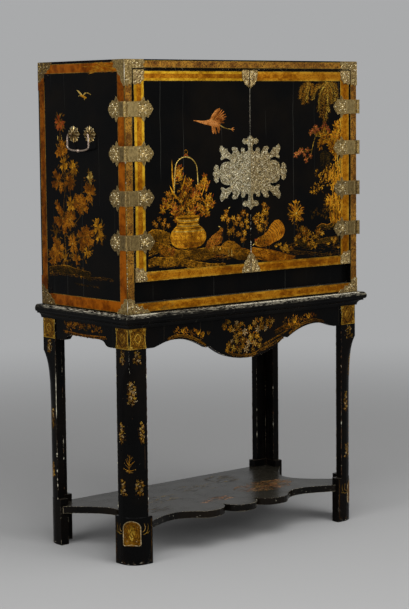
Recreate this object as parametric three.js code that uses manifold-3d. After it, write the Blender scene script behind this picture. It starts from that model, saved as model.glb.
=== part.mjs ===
import * as THREE from 'three';
import { mergeVertices } from 'three/addons/utils/BufferGeometryUtils.js';
import Module from 'manifold-3d';

// Japanned two-door cabinet on an open four-legged stand
// Millimetres, +X to the right, +Y to the back, +Z up, origin on the floor under the middle

const wasm = await Module();
wasm.setup();

// Driving dimensions of the whole piece
const fitGap = 0.3;
const cutOverrun = 2;

const caseWidth = 970;
const caseDepth = 450;
const caseHeight = 768;
const standHeight = 780;
const standWidth = 962;
const standDepth = 453;
const caseForward = 2;

// Driving dimensions of the case and what it holds
const sideThickness = 28;
const topThickness = 28;
const floorThickness = 32;
const backThickness = 10;
const basePanelHeight = 80;
const basePanelThickness = 14;
const shelfThickness = 14;
const shelfHousing = 6;
const shelfSetback = 10;
const innerShelfCount = 2;

// Driving dimensions of the doors
const doorThickness = 20;
const doorGap = 1.6;
const doorRise = 64;
const meetingShift = 12;

// Driving dimensions of the stand
const standTopThickness = 28;
const topOverhang = 28;
const rearOverhang = 3;
const mouldingHeight = 16;
const flangeWidth = 66;
const flangeThickness = 25;
const blockHeight = 82;
const collarHeight = 150;
const collarSpread = 15;
const collarThickening = 4;
const collarProud = 1;
const apronThickness = 20;
const apronSetback = 3;
const undertierTop = 127;
const undertierThickness = 22;

// Driving dimensions of the brass
const plateThickness = 1.8;
const barrelRadius = 5;
const barrelOffset = 4.5;
const pinRadius = 2;
const pinClearance = 0.4;
const knuckleClearance = 0.5;

// Levels and faces that the pieces share
const standTopDepth = standDepth + topOverhang + rearOverhang;
const legFront = topOverhang - standTopDepth / 2;
const legBack = standTopDepth / 2 - rearOverhang;
const legSide = standWidth / 2;
const caseSide = caseWidth / 2;
const caseFront = legFront - caseForward;
const caseBack = caseFront + caseDepth;
const caseBase = standHeight + fitGap;
const floorTop = caseBase + floorThickness;
const caseTop = caseBase + caseHeight;
const ceiling = caseTop - topThickness;
const innerSide = caseSide - sideThickness;
const doorBack = caseFront + doorThickness;
const doorBottom = floorTop + doorRise;
const doorTop = ceiling - doorGap;
const doorOuter = innerSide - doorGap;
const doorHeight = doorTop - doorBottom;

// Finishes
const finish = {
  lacquer: { color: '#100f0c', roughness: 0.28, metalness: 0 },
  bareWood: { color: '#4a3222', roughness: 0.7, metalness: 0 },
  wornLacquer: { color: '#4c4a46', roughness: 0.4, metalness: 0 },
  brass: { color: '#978a5e', roughness: 0.42, metalness: 1 },
  paleBrass: { color: '#a8a182', roughness: 0.45, metalness: 1 },
  iron: { color: '#4b4a48', roughness: 0.5, metalness: 1 }
};

const cabinet = new THREE.Group();

function addPiece(group, name, geometry, look, place = [0, 0, 0]) {
  geometry.computeVertexNormals();
  const mesh = new THREE.Mesh(geometry, new THREE.MeshStandardMaterial(finish[look]));
  mesh.name = name;
  mesh.position.set(...place);
  group.add(mesh);
  return mesh;
}

// Closed meshes and their joins and cuts
function positionOnly(geometry) {
  const bare = new THREE.BufferGeometry();
  bare.setAttribute('position', geometry.getAttribute('position').clone());
  if (geometry.index) bare.setIndex(geometry.index.clone());
  return mergeVertices(bare);
}

function solidOf(geometry) {
  const bare = positionOnly(geometry);
  const vertProperties = new Float32Array(bare.getAttribute('position').array);
  const triVerts = new Uint32Array(bare.index.array);
  return new wasm.Manifold(new wasm.Mesh({ numProp: 3, vertProperties, triVerts }));
}

function geometryOf(solid) {
  const { vertProperties, triVerts } = solid.getMesh();
  const geometry = new THREE.BufferGeometry();
  geometry.setAttribute('position', new THREE.BufferAttribute(new Float32Array(vertProperties), 3));
  geometry.setIndex(new THREE.BufferAttribute(new Uint32Array(triVerts), 1));
  return geometry;
}

function joined(...geometries) {
  return geometryOf(geometries.map(solidOf).reduce((all, next) => all.add(next)));
}

function cut(geometry, ...tools) {
  return geometryOf(tools.map(solidOf).reduce((rest, tool) => rest.subtract(tool), solidOf(geometry)));
}

// The same piece for the other hand
function mirrored(geometry, axis) {
  const copy = positionOnly(geometry);
  const signs = { x: [-1, 1, 1], y: [1, -1, 1] };
  copy.scale(...signs[axis]);
  const corners = copy.index.array;
  for (let i = 0; i < corners.length; i += 3) {
    [corners[i], corners[i + 1]] = [corners[i + 1], corners[i]];
  }
  return copy;
}

// A board between two places on each axis
function board(xRange, yRange, zRange) {
  const sizes = [xRange, yRange, zRange].map(([low, high]) => high - low);
  const centres = [xRange, yRange, zRange].map(([low, high]) => (low + high) / 2);
  return new THREE.BoxGeometry(...sizes).translate(...centres);
}

// A flat outline in X and Z, as thick as asked towards the front
function facePlate(outline, thickness, curveSegments = 8) {
  const settings = { depth: thickness, bevelEnabled: false, curveSegments };
  return new THREE.ExtrudeGeometry(outline, settings).rotateX(Math.PI / 2);
}

// A flat outline lying level, rising by its thickness
function levelPlate(outline, thickness, curveSegments = 8) {
  return new THREE.ExtrudeGeometry(outline, { depth: thickness, bevelEnabled: false, curveSegments });
}

function outlineOf(points) {
  return new THREE.Shape(points.map(([x, y]) => new THREE.Vector2(x, y)));
}

// A body through level rings of equal point counts, from the bottom ring to the top one
function lofted(rings) {
  const count = rings[0].length;
  const positions = rings.flat(2);
  const triangles = [];
  for (let r = 0; r < rings.length - 1; r++) {
    for (let i = 0; i < count; i++) {
      const next = (i + 1) % count;
      const [a, b] = [r * count + i, r * count + next];
      const [c, d] = [a + count, b + count];
      triangles.push(a, b, d, a, d, c);
    }
  }
  const capOf = (ring) => {
    const corners = ring.map(([x, y]) => new THREE.Vector2(x, y));
    return THREE.ShapeUtils.triangulateShape(corners, []);
  };
  const last = (rings.length - 1) * count;
  for (const [a, b, c] of capOf(rings[0])) triangles.push(a, c, b);
  for (const [a, b, c] of capOf(rings.at(-1))) triangles.push(last + a, last + b, last + c);
  const geometry = new THREE.BufferGeometry();
  geometry.setAttribute('position', new THREE.Float32BufferAttribute(positions, 3));
  geometry.setIndex(triangles);
  return geometry;
}

function round(radius, length, sides = 16) {
  return new THREE.CylinderGeometry(radius, radius, length, sides);
}

// Case boards
const innerFloorTop = floorTop + fitGap + basePanelHeight + fitGap + shelfThickness;
const innerBack = caseBack - backThickness;
const shelfFront = doorBack + shelfSetback;
const shelfClear = (ceiling - innerFloorTop - innerShelfCount * shelfThickness) / (innerShelfCount + 1);
const shelfLevels = Array.from({ length: innerShelfCount }, (_, i) =>
  innerFloorTop + shelfClear + i * (shelfClear + shelfThickness));

// Rear corner mounts, in low relief on the side boards
const rearMount = {
  along: 62,
  down: 58,
  relief: 1.2,
  inset: 0.5,
  outlineShares: [[0, 0], [1, 0], [0.86, 0.2], [0.9, 0.34], [0.6, 0.4], [0.52, 0.62],
    [0.3, 0.66], [0.26, 0.94], [0.12, 1], [0, 0.98]]
};

function rearMountOn(level, turn) {
  const points = rearMount.outlineShares.map(([u, v]) => [
    rearMount.inset + u * rearMount.along - caseBack,
    level + turn * (rearMount.inset + v * rearMount.down)
  ]);
  const sunk = rearMount.relief;
  const plate = facePlate(outlineOf(points), rearMount.relief + sunk);
  return plate.rotateZ(-Math.PI / 2).translate(sunk - caseSide, 0, 0);
}

function leftSideBoard() {
  const zRange = [floorTop + fitGap, ceiling - fitGap];
  const blank = board([-caseSide, -innerSide], [caseFront, caseBack], zRange);
  const mounts = [rearMountOn(zRange[0], 1), rearMountOn(zRange[1], -1)];
  const grooves = shelfLevels.map((level) => board(
    [-innerSide - shelfHousing, cutOverrun - innerSide],
    [shelfFront - fitGap, innerBack],
    [level - fitGap, level + shelfThickness + fitGap]
  ));
  return cut(joined(blank, ...mounts), ...grooves);
}

function addCase(group) {
  const inside = innerSide - fitGap;
  const fullWidth = [-caseSide, caseSide];
  const fullDepth = [caseFront, caseBack];
  const walls = [floorTop + fitGap, ceiling - fitGap];
  addPiece(group, 'case_bottom', board(fullWidth, fullDepth, [caseBase, floorTop]), 'lacquer');
  addPiece(group, 'case_top', board(fullWidth, fullDepth, [ceiling, caseTop]), 'lacquer');
  const left = leftSideBoard();
  addPiece(group, 'case_side_left', left, 'lacquer');
  addPiece(group, 'case_side_right', mirrored(left, 'x'), 'lacquer');
  addPiece(group, 'case_back', board([-inside, inside], [innerBack, caseBack], walls), 'bareWood');
  const panelTop = floorTop + fitGap + basePanelHeight;
  const panelFront = doorBack + fitGap;
  const panelDepth = [panelFront, panelFront + basePanelThickness];
  addPiece(group, 'base_panel', board([-inside, inside], panelDepth, [walls[0], panelTop]), 'lacquer');
  const floorDepth = [panelFront, innerBack - fitGap];
  const innerFloor = board([-inside, inside], floorDepth, [panelTop + fitGap, innerFloorTop]);
  addPiece(group, 'inner_floor', innerFloor, 'bareWood');
  const housed = innerSide + shelfHousing - fitGap;
  shelfLevels.forEach((level, i) => {
    const shelf = board([-housed, housed], [shelfFront, innerBack - fitGap], [level, level + shelfThickness]);
    addPiece(group, `inner_shelf_${i + 1}`, shelf, 'bareWood');
  });
}

// Box lock let into the back of the right door, its bolt drawn back at rest
const lock = {
  width: 72,
  height: 88,
  depth: 12,
  belowMiddle: 2.5,
  boltLength: 34,
  boltHeight: 24,
  boltThickness: 6,
  boltClearance: 0.5,
  boltThrow: 9,
  keyholeOut: 40,
  keyholeRadius: 3.6,
  keyholeSlot: 3,
  keyholeDrop: 12
};

const lockLevel = (doorBottom + doorTop) / 2 - lock.belowMiddle;
const meetingLeft = meetingShift - doorGap / 2;
const meetingRight = meetingShift + doorGap / 2;
const boltRange = {
  x: [meetingRight + fitGap, meetingRight + fitGap + lock.boltLength],
  y: [doorBack - (lock.depth + lock.boltThickness) / 2, doorBack - (lock.depth - lock.boltThickness) / 2],
  z: [lockLevel - lock.boltHeight / 2, lockLevel + lock.boltHeight / 2]
};

function widened([low, high], by) {
  return [low - by, high + by];
}

function keyhole(depth) {
  const eye = round(lock.keyholeRadius, depth);
  const half = lock.keyholeSlot / 2;
  const slot = board([-half, half], [-depth / 2, depth / 2], [-lock.keyholeDrop, 0]);
  const at = [meetingShift + lock.keyholeOut, caseFront, lockLevel];
  return joined(eye, slot).translate(...at);
}

function addDoors(group) {
  const thickness = [caseFront, doorBack];
  const leaf = [doorBottom, doorTop];
  const strike = board(
    [meetingLeft - lock.boltThrow - fitGap, meetingLeft + cutOverrun],
    widened(boltRange.y, lock.boltClearance),
    widened(boltRange.z, lock.boltClearance)
  );
  addPiece(group, 'door_left', cut(board([-doorOuter, meetingLeft], thickness, leaf), strike), 'lacquer');
  const recess = board(
    [meetingRight - cutOverrun, meetingRight + lock.width + fitGap],
    [doorBack - lock.depth - fitGap, doorBack + cutOverrun],
    widened([lockLevel - lock.height / 2, lockLevel + lock.height / 2], fitGap)
  );
  const rightLeaf = board([meetingRight, doorOuter], thickness, leaf);
  addPiece(group, 'door_right', cut(rightLeaf, recess, keyhole(doorThickness)), 'lacquer');
  const lockBody = board(
    [meetingRight, meetingRight + lock.width],
    [doorBack - lock.depth, doorBack],
    [lockLevel - lock.height / 2, lockLevel + lock.height / 2]
  );
  const channel = board(
    [meetingRight - cutOverrun, boltRange.x[1] + lock.boltClearance],
    widened(boltRange.y, lock.boltClearance),
    widened(boltRange.z, lock.boltClearance)
  );
  addPiece(group, 'lock_case', cut(lockBody, channel), 'iron');
  addPiece(group, 'lock_bolt', board(boltRange.x, boltRange.y, boltRange.z), 'iron');
}

// Lock plate, one pierced half on each door, drawn as the upper right quarter
const lockPlate = {
  halfWidth: 159,
  halfHeight: 118,
  outlineShares: [[0, 1], [0.05, 0.94], [0.1, 0.9], [0.165, 0.915], [0.215, 0.86], [0.2, 0.8], [0.15, 0.755],
    [0.1, 0.78], [0.06, 0.73], [0.05, 0.6], [0.08, 0.57], [0.127, 0.554], [0.15, 0.6], [0.162, 0.65],
    [0.213, 0.668], [0.253, 0.624], [0.24, 0.55], [0.263, 0.486], [0.29, 0.49], [0.286, 0.549],
    [0.325, 0.59], [0.349, 0.662], [0.405, 0.695], [0.473, 0.689], [0.491, 0.63], [0.456, 0.576],
    [0.468, 0.522], [0.506, 0.481], [0.544, 0.535], [0.595, 0.589], [0.615, 0.649], [0.684, 0.662],
    [0.722, 0.705], [0.765, 0.749], [0.8, 0.67], [0.805, 0.603], [0.772, 0.535], [0.747, 0.468],
    [0.785, 0.4], [0.765, 0.355], [0.722, 0.373], [0.658, 0.414], [0.608, 0.395], [0.537, 0.365],
    [0.524, 0.289], [0.582, 0.311], [0.684, 0.297], [0.759, 0.238], [0.79, 0.157], [0.8, 0.089],
    [0.828, 0.1], [0.843, 0.15], [0.84, 0.205], [0.896, 0.243], [0.947, 0.184], [0.962, 0.116],
    [0.937, 0.068], [0.98, 0.035]]
};

function lockHalf(innerEdge) {
  const upper = lockPlate.outlineShares.map(([u, v]) =>
    [Math.max(u * lockPlate.halfWidth, innerEdge), v * lockPlate.halfHeight]);
  const lower = upper.map(([x, z]) => [x, -z]).toReversed();
  return outlineOf([...upper, ...lower]);
}

function addLockPlates(group) {
  const halfGap = doorGap / 2;
  const half = facePlate(lockHalf(halfGap), plateThickness);
  const face = [meetingShift, caseFront - fitGap, lockLevel];
  const right = cut(half.clone().translate(...face), keyhole(doorThickness));
  addPiece(group, 'lock_plate_right', right, 'paleBrass');
  addPiece(group, 'lock_plate_left', mirrored(half, 'x'), 'paleBrass', face);
}

// Hinges, four to a side, each of two shaped leaves round one pin outside the corner of the case
const hinge = {
  levelShares: [0.188, 0.396, 0.605, 0.814],
  halfHeight: 23,
  doorReach: 106,
  caseReach: 80,
  middleKnuckleShare: 0.4,
  doorOutlineShares: [[0.42, 1], [0.58, 1.06], [0.62, 1.4], [0.66, 1.62], [0.7, 1.32], [0.715, 1.02],
    [0.76, 1.0], [0.82, 1.15], [0.855, 0.96], [0.85, 0.78], [0.9, 0.74], [0.93, 0.52], [1, 0.06]],
  caseOutlineShares: [[0.4, 1], [0.44, 1.3], [0.53, 1.7], [0.58, 1.34], [0.6, 1.08], [0.66, 1.06],
    [0.74, 1.18], [0.8, 1.02], [0.8, 0.86], [0.87, 0.86], [0.93, 0.6], [0.92, 0.46], [0.97, 0.4], [1, 0.14]]
};
const pinAxis = { x: -caseSide - barrelOffset, y: caseFront - barrelOffset };
const middleKnuckle = hinge.halfHeight * hinge.middleKnuckleShare;

// A leaf lies along +X from the pin axis, behind it by the offset of the barrel
function leafPlate(reach, shares) {
  const upper = shares.map(([u, v]) => [barrelOffset + u * reach, v * hinge.halfHeight]);
  const half = [[0, hinge.halfHeight], ...upper];
  const outline = outlineOf([...half, ...half.map(([x, z]) => [x, -z]).toReversed()]);
  return facePlate(outline, plateThickness).translate(0, barrelOffset - fitGap, 0);
}

function upright(radius, low, high) {
  return round(radius, high - low).rotateX(Math.PI / 2).translate(0, 0, (low + high) / 2);
}

function knuckleRoom(low, high) {
  const reach = barrelRadius + knuckleClearance;
  return board([-reach, reach], [-reach, reach], [low, high]);
}

function doorLeafGeometry() {
  const end = hinge.halfHeight + cutOverrun;
  const plate = cut(leafPlate(hinge.doorReach, hinge.doorOutlineShares),
    knuckleRoom(middleKnuckle, end), knuckleRoom(-end, -middleKnuckle));
  const knuckle = upright(barrelRadius, -middleKnuckle, middleKnuckle);
  return cut(joined(plate, knuckle), upright(pinRadius + pinClearance, -end, end));
}

function caseLeafGeometry() {
  const clear = middleKnuckle + knuckleClearance;
  const plate = cut(leafPlate(hinge.caseReach, hinge.caseOutlineShares), knuckleRoom(-clear, clear));
  const pin = upright(pinRadius, -clear - pinRadius, clear + pinRadius);
  const lower = upright(barrelRadius, -hinge.halfHeight, -clear);
  const upper = upright(barrelRadius, clear, hinge.halfHeight);
  return mirrored(joined(plate, lower, upper, pin), 'x').rotateZ(-Math.PI / 2);
}

function addHinges(group) {
  const leaves = { door_leaf: doorLeafGeometry(), case_leaf: caseLeafGeometry() };
  hinge.levelShares.forEach((share, i) => {
    const level = doorBottom + share * doorHeight;
    for (const [part, left] of Object.entries(leaves)) {
      addPiece(group, `hinge_left_${i + 1}_${part}`, left.clone(), 'brass', [pinAxis.x, pinAxis.y, level]);
      const right = mirrored(left, 'x');
      addPiece(group, `hinge_right_${i + 1}_${part}`, right, 'brass', [-pinAxis.x, pinAxis.y, level]);
    }
  });
}

// Corner mounts of the case, folded round its front corners
const caseMount = {
  inset: 0.5,
  topAlong: 76,
  topDown: 80,
  topStrip: 26,
  topSide: 60,
  lowAlong: 86,
  lowUp: 48,
  lowSide: 52,
  tailShares: [[0.94, 0], [1, 0.36], [0.89, 0.6], [0.97, 0.86], [0.85, 1]],
  topSideShares: [[0, 0], [1, 0], [0.84, 0.14], [0.92, 0.28], [0.62, 0.34], [0.5, 0.56], [0.32, 0.62],
    [0.26, 0.84], [0.14, 0.9], [0.08, 1], [0, 0.97]],
  lowFrontShares: [[0, 0], [1, 0], [0.86, 0.26], [0.74, 0.2], [0.62, 0.5], [0.5, 0.42], [0.4, 0.62],
    [0.3, 0.6], [0.29, 0.86], [0.18, 0.92], [0.1, 1], [0, 0.95]],
  lowSideShares: [[0, 0], [1, 0], [0.8, 0.3], [0.66, 0.3], [0.56, 0.62], [0.36, 0.66], [0.3, 0.94],
    [0.14, 1], [0, 0.95]]
};

function scaled(shares, along, across) {
  return shares.map(([u, v]) => [u * along, v * across]);
}

// A strip along each of two board edges, with scalloped ends
function stripPoints(along, down, strip) {
  const level = scaled(caseMount.tailShares, along, strip);
  const falling = scaled(caseMount.tailShares, down, strip).map(([u, v]) => [v, u]).toReversed();
  return [[0, 0], ...level, [strip, strip], ...falling];
}

// Points run outwards from the corner edge and away from the level of the mount
function foldedMount(frontPoints, sidePoints, turn) {
  const skin = fitGap + plateThickness;
  const foldedOut = ([u, v]) => [u > 0 ? u : -skin, turn * (v + caseMount.inset)];
  const fold = (points) => outlineOf(points.map(foldedOut));
  const front = facePlate(fold(frontPoints), plateThickness).translate(0, -fitGap, 0);
  const side = facePlate(fold(sidePoints), plateThickness).translate(0, -fitGap, 0);
  return joined(front, mirrored(side, 'x').rotateZ(-Math.PI / 2));
}

function addCaseMounts(group) {
  const { topAlong, topDown, topStrip, topSide, lowAlong, lowUp, lowSide } = caseMount;
  const top = foldedMount(
    stripPoints(topAlong, topDown, topStrip), scaled(caseMount.topSideShares, topSide, topDown), -1);
  const low = foldedMount(
    scaled(caseMount.lowFrontShares, lowAlong, lowUp), scaled(caseMount.lowSideShares, lowSide, lowUp), 1);
  for (const [name, left, level] of [['top', top, caseTop], ['bottom', low, caseBase]]) {
    addPiece(group, `case_mount_${name}_left`, left, 'brass', [-caseSide, caseFront, level]);
    addPiece(group, `case_mount_${name}_right`, mirrored(left, 'x'), 'brass', [caseSide, caseFront, level]);
  }
}

// Mounts at the corners of the doors and on both sides of their meeting line
const doorMount = {
  inset: 1,
  topOuter: { along: 44, down: 46 },
  topMeeting: { along: 32, down: 58 },
  bottomOuter: { along: 46, down: 44 },
  bottomMeeting: { along: 38, down: 64 },
  outerShares: [[0, 0], [0.94, 0], [1, 0.2], [0.9, 0.42], [0.98, 0.62], [0.78, 0.72], [0.64, 0.94],
    [0.4, 0.88], [0.2, 1], [0, 0.94]],
  topMeetingShares: [[0, 0], [0.94, 0], [1, 0.16], [0.92, 0.5], [0.72, 0.64], [0.66, 0.76], [0.34, 0.86],
    [0, 1]],
  bottomMeetingShares: [[0, 0], [1, 0], [0.94, 0.22], [0.76, 0.32], [0.7, 0.54], [0.42, 0.66], [0.34, 0.82],
    [0, 1]]
};

function addDoorMounts(group) {
  const { inset, outerShares, topMeetingShares, bottomMeetingShares } = doorMount;
  const levels = { top: doorTop - inset, bottom: doorBottom + inset };
  const kinds = [
    ['top_outer', 'top', doorMount.topOuter, outerShares],
    ['bottom_outer', 'bottom', doorMount.bottomOuter, outerShares],
    ['top_meeting', 'top', doorMount.topMeeting, topMeetingShares],
    ['bottom_meeting', 'bottom', doorMount.bottomMeeting, bottomMeetingShares]
  ];
  for (const [kind, end, size, shares] of kinds) {
    const turn = end === 'top' ? -1 : 1;
    const points = scaled(shares, size.along, turn * size.down);
    const outward = facePlate(outlineOf(points), plateThickness);
    const inward = mirrored(outward, 'x');
    const atMeeting = kind.endsWith('meeting');
    const places = atMeeting
      ? [['left', inward, meetingLeft], ['right', outward, meetingRight]]
      : [['left', outward, inset - doorOuter], ['right', inward, doorOuter - inset]];
    for (const [hand, shape, x] of places) {
      const place = [x, caseFront - fitGap, levels[end]];
      addPiece(group, `door_mount_${kind}_${hand}`, shape.clone(), 'brass', place);
    }
  }
}

// Drop handles on the two sides of the case, each a bail between two shaped rosettes
const handle = {
  rise: 542.7,
  centre: -6,
  spread: 83,
  rosetteWidth: 52,
  rosetteHeight: 60,
  rosetteShares: [[0, 0.5], [0.16, 0.36], [0.36, 0.22], [0.5, 0], [0.38, -0.2], [0.2, -0.36], [0, -0.5]],
  reach: 16,
  stemRadius: 4,
  ballRadius: 6.5,
  rodRadius: 2.8,
  eyeClearance: 0.5,
  halfBow: 55,
  drop: 50,
  shoulder: 14,
  knopRadius: 5.5,
  rodSides: 8,
  rodSteps: 44
};

// Local frame of a handle: origin on the wall at the pivot level, the wall facing -X
function rosetteGeometry() {
  const upper = scaled(handle.rosetteShares, handle.rosetteWidth, handle.rosetteHeight);
  const outline = outlineOf([...upper, ...upper.slice(1, -1).map(([x, z]) => [-x, z]).toReversed()]);
  const plate = facePlate(outline, plateThickness).rotateZ(-Math.PI / 2).translate(-fitGap, 0, 0);
  const stem = round(handle.stemRadius, handle.reach - fitGap).rotateZ(Math.PI / 2);
  stem.translate(-(handle.reach + fitGap) / 2, 0, 0);
  const ball = new THREE.SphereGeometry(handle.ballRadius, 12, 8).translate(-handle.reach, 0, 0);
  const eye = round(handle.rodRadius + handle.eyeClearance, handle.rosetteWidth);
  return cut(joined(plate, stem, ball), eye.translate(-handle.reach, 0, 0));
}

function ringOutline(radius, sides) {
  return outlineOf(Array.from({ length: sides }, (_, i) => {
    const turn = (i / sides) * 2 * Math.PI;
    return [radius * Math.cos(turn), radius * Math.sin(turn)];
  }));
}

function bailGeometry() {
  const { spread, halfBow, drop, shoulder, ballRadius, rodRadius } = handle;
  const inEye = spread / 2 - ballRadius;
  const clearOfEye = spread / 2 + ballRadius;
  const at = (y, z) => new THREE.Vector3(0, y, z);
  const path = new THREE.CurvePath();
  path.add(new THREE.LineCurve3(at(-inEye, 0), at(-clearOfEye, 0)));
  path.add(new THREE.QuadraticBezierCurve3(at(-clearOfEye, 0), at(-halfBow, 0), at(-halfBow, -shoulder)));
  path.add(new THREE.LineCurve3(at(-halfBow, -shoulder), at(-halfBow, shoulder - drop)));
  path.add(new THREE.QuadraticBezierCurve3(at(-halfBow, shoulder - drop), at(-halfBow, -drop), at(0, -drop)));
  path.add(new THREE.QuadraticBezierCurve3(at(0, -drop), at(halfBow, -drop), at(halfBow, shoulder - drop)));
  path.add(new THREE.LineCurve3(at(halfBow, shoulder - drop), at(halfBow, -shoulder)));
  path.add(new THREE.QuadraticBezierCurve3(at(halfBow, -shoulder), at(halfBow, 0), at(clearOfEye, 0)));
  path.add(new THREE.LineCurve3(at(clearOfEye, 0), at(inEye, 0)));
  const section = ringOutline(rodRadius, handle.rodSides);
  const rod = new THREE.ExtrudeGeometry(section, { extrudePath: path, steps: handle.rodSteps });
  const knop = new THREE.SphereGeometry(handle.knopRadius, 12, 8).translate(0, 0, -drop);
  return joined(rod, knop);
}

function addHandles(group) {
  const rosette = rosetteGeometry();
  const bail = bailGeometry();
  const level = caseBase + handle.rise;
  const middle = (caseFront + caseBack) / 2 + handle.centre;
  for (const [hand, side] of [['left', -1], ['right', 1]]) {
    const made = (geometry) => (side < 0 ? geometry.clone() : mirrored(geometry, 'x'));
    const wall = side * caseSide;
    const pivot = wall + side * handle.reach;
    addPiece(group, `bail_${hand}`, made(bail), 'brass', [pivot, middle, level]);
    for (const [end, shift] of [['front', -1], ['back', 1]]) {
      const place = [wall, middle + (shift * handle.spread) / 2, level];
      addPiece(group, `rosette_${hand}_${end}`, made(rosette), 'brass', place);
    }
  }
}

// Legs of angle section, square at the head, then easing to a rounded outer edge, with a thicker foot
const leg = {
  squareRadius: 1.5,
  roundRadius: 54,
  squareRun: 40,
  easeLength: 45,
  easeShares: [0.13, 0.36, 0.62, 0.98, 1.5, 2.3, 3.7],
  arcSteps: 8,
  footChamfer: 2
};

function angleSection(level, radius, proud, width, thickness) {
  const centre = radius - proud;
  const arc = Array.from({ length: leg.arcSteps + 1 }, (_, i) => {
    const turn = Math.PI + (i / leg.arcSteps) * (Math.PI / 2);
    return [centre + radius * Math.cos(turn), centre + radius * Math.sin(turn), level];
  });
  const inner = thickness - proud;
  return [...arc, [width, -proud, level], [width, inner, level], [inner, inner, level], [inner, width, level],
    [-proud, width, level]];
}

function roundingAt(level) {
  const headBottom = standHeight - standTopThickness - blockHeight;
  const below = headBottom - leg.squareRun - level;
  if (below <= 0) return leg.squareRadius;
  return leg.squareRadius + (leg.roundRadius - leg.squareRadius) * (1 - Math.exp(-below / leg.easeLength));
}

function legGeometry() {
  const top = standHeight - standTopThickness - fitGap;
  const squareEnd = standHeight - standTopThickness - blockHeight - leg.squareRun;
  const shaft = (level) => angleSection(level, roundingAt(level), 0, flangeWidth, flangeThickness);
  const footWidth = flangeWidth + collarSpread;
  const footThickness = flangeThickness + collarThickening + collarProud;
  const foot = (level, proud) =>
    angleSection(level, roundingAt(0) + proud, proud, footWidth, footThickness - collarProud + proud);
  const levels = leg.easeShares.map((share) => squareEnd - share * leg.easeLength).toReversed();
  const rings = [
    foot(0, collarProud - leg.footChamfer / 2),
    foot(leg.footChamfer, collarProud),
    foot(collarHeight - leg.footChamfer, collarProud),
    foot(collarHeight, collarProud - leg.footChamfer / 2),
    shaft(collarHeight),
    ...levels.map(shaft),
    shaft(squareEnd),
    shaft(top)
  ];
  return lofted(rings);
}

function addLegs(group) {
  const base = legGeometry();
  for (const [depthName, y, flipY] of [['front', legFront, false], ['back', legBack, true]]) {
    for (const [hand, x, flipX] of [['left', -legSide, false], ['right', legSide, true]]) {
      const acrossY = flipY ? mirrored(base, 'y') : base.clone();
      const shape = flipX ? mirrored(acrossY, 'x') : acrossY;
      addPiece(group, `leg_${depthName}_${hand}`, shape, 'lacquer', [x, y, 0]);
    }
  }
}

// Shaped edges, built up from points; each curve is steered by shares of the way between its ends
const mix = (from, to, share) => from + (to - from) * share;

function eased(from, to, shares, steps = 8) {
  const steer = shares.map(([u, v]) => new THREE.Vector2(mix(from[0], to[0], u), mix(from[1], to[1], v)));
  const ends = [from, to].map(([x, y]) => new THREE.Vector2(x, y));
  const curve = new THREE.CubicBezierCurve(ends[0], steer[0], steer[1], ends[1]);
  return curve.getPoints(steps).slice(1).map((point) => [point.x, point.y]);
}

// A whole outline from its right half, which starts and ends on the centre line
function bothHalves(half) {
  return outlineOf([...half, ...half.slice(1, -1).map(([x, y]) => [-x, y]).toReversed()]);
}

// Aprons: the front one in two arches round a central lobe, the others straight with shaped brackets
const apron = {
  bracketDrop: 81,
  bracketReach: 31,
  archDrop: 63,
  tipDrop: 100,
  tipReach: 174,
  cuspDrop: 96,
  cuspReach: 160,
  lobeDrop: 149,
  crownReach: 300,
  sideDrop: 61,
  sideBracketReach: 33,
  sideEaseRun: 55,
  lobeShares: [[0.6, 0], [0.84, 0.67]],
  innerArchShares: [[0.25, 0.5], [0.6, 1]],
  outerArchShares: [[0.48, 0], [0.74, 0.78]],
  bracketShares: [[0.7, 0], [0.2, 0.85]]
};
const apronTop = standHeight - standTopThickness - fitGap;

function frontApron(halfLength) {
  const lobe = [0, -apron.lobeDrop];
  const cusp = [apron.cuspReach, -apron.cuspDrop];
  const tip = [apron.tipReach, -apron.tipDrop];
  const crown = [apron.crownReach, -apron.archDrop];
  const foot = [halfLength - apron.bracketReach, -apron.bracketDrop];
  return bothHalves([
    [0, 0], [halfLength, 0], [halfLength, -apron.bracketDrop], foot,
    ...eased(crown, foot, apron.outerArchShares).toReversed().slice(1), crown,
    ...eased(tip, crown, apron.innerArchShares).toReversed().slice(1), tip, cusp,
    ...eased(lobe, cusp, apron.lobeShares).toReversed().slice(1), lobe
  ]);
}

function straightApron(halfLength) {
  const foot = [halfLength - apron.sideBracketReach, -apron.bracketDrop];
  const run = [foot[0] - apron.sideEaseRun, -apron.sideDrop];
  return bothHalves([
    [0, 0], [halfLength, 0], [halfLength, -apron.bracketDrop], foot,
    ...eased(foot, run, apron.bracketShares), [0, -apron.sideDrop]
  ]);
}

function addAprons(group) {
  const across = legSide - flangeWidth - fitGap;
  const along = (legBack - legFront) / 2 - flangeWidth - fitGap;
  const middle = (legBack + legFront) / 2;
  const front = facePlate(frontApron(across), apronThickness);
  const back = facePlate(straightApron(across), apronThickness);
  const side = facePlate(straightApron(along), apronThickness).rotateZ(Math.PI / 2);
  const inset = apronSetback + apronThickness;
  addPiece(group, 'apron_front', front, 'lacquer', [0, legFront + inset, apronTop]);
  addPiece(group, 'apron_back', back, 'lacquer', [0, legBack - apronSetback, apronTop]);
  addPiece(group, 'apron_left', side.clone(), 'lacquer', [apronSetback - legSide, middle, apronTop]);
  addPiece(group, 'apron_right', side, 'lacquer', [legSide - inset, middle, apronTop]);
}

// Top of the stand: a board with a thumb moulding on three edges and a hollow moulding under it
const standTop = {
  noseOut: 11,
  noseRise: 13,
  noseFrom: -45,
  noseSteps: 9,
  filletOut: 20,
  hollowOut: 14,
  hollowFoot: 4,
  hollowSteps: 6
};

function standRing(out, level) {
  const side = legSide + out;
  const front = legFront - out;
  const back = legBack + rearOverhang;
  return [[-side, front, level], [side, front, level], [side, back, level], [-side, back, level]];
}

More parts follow.
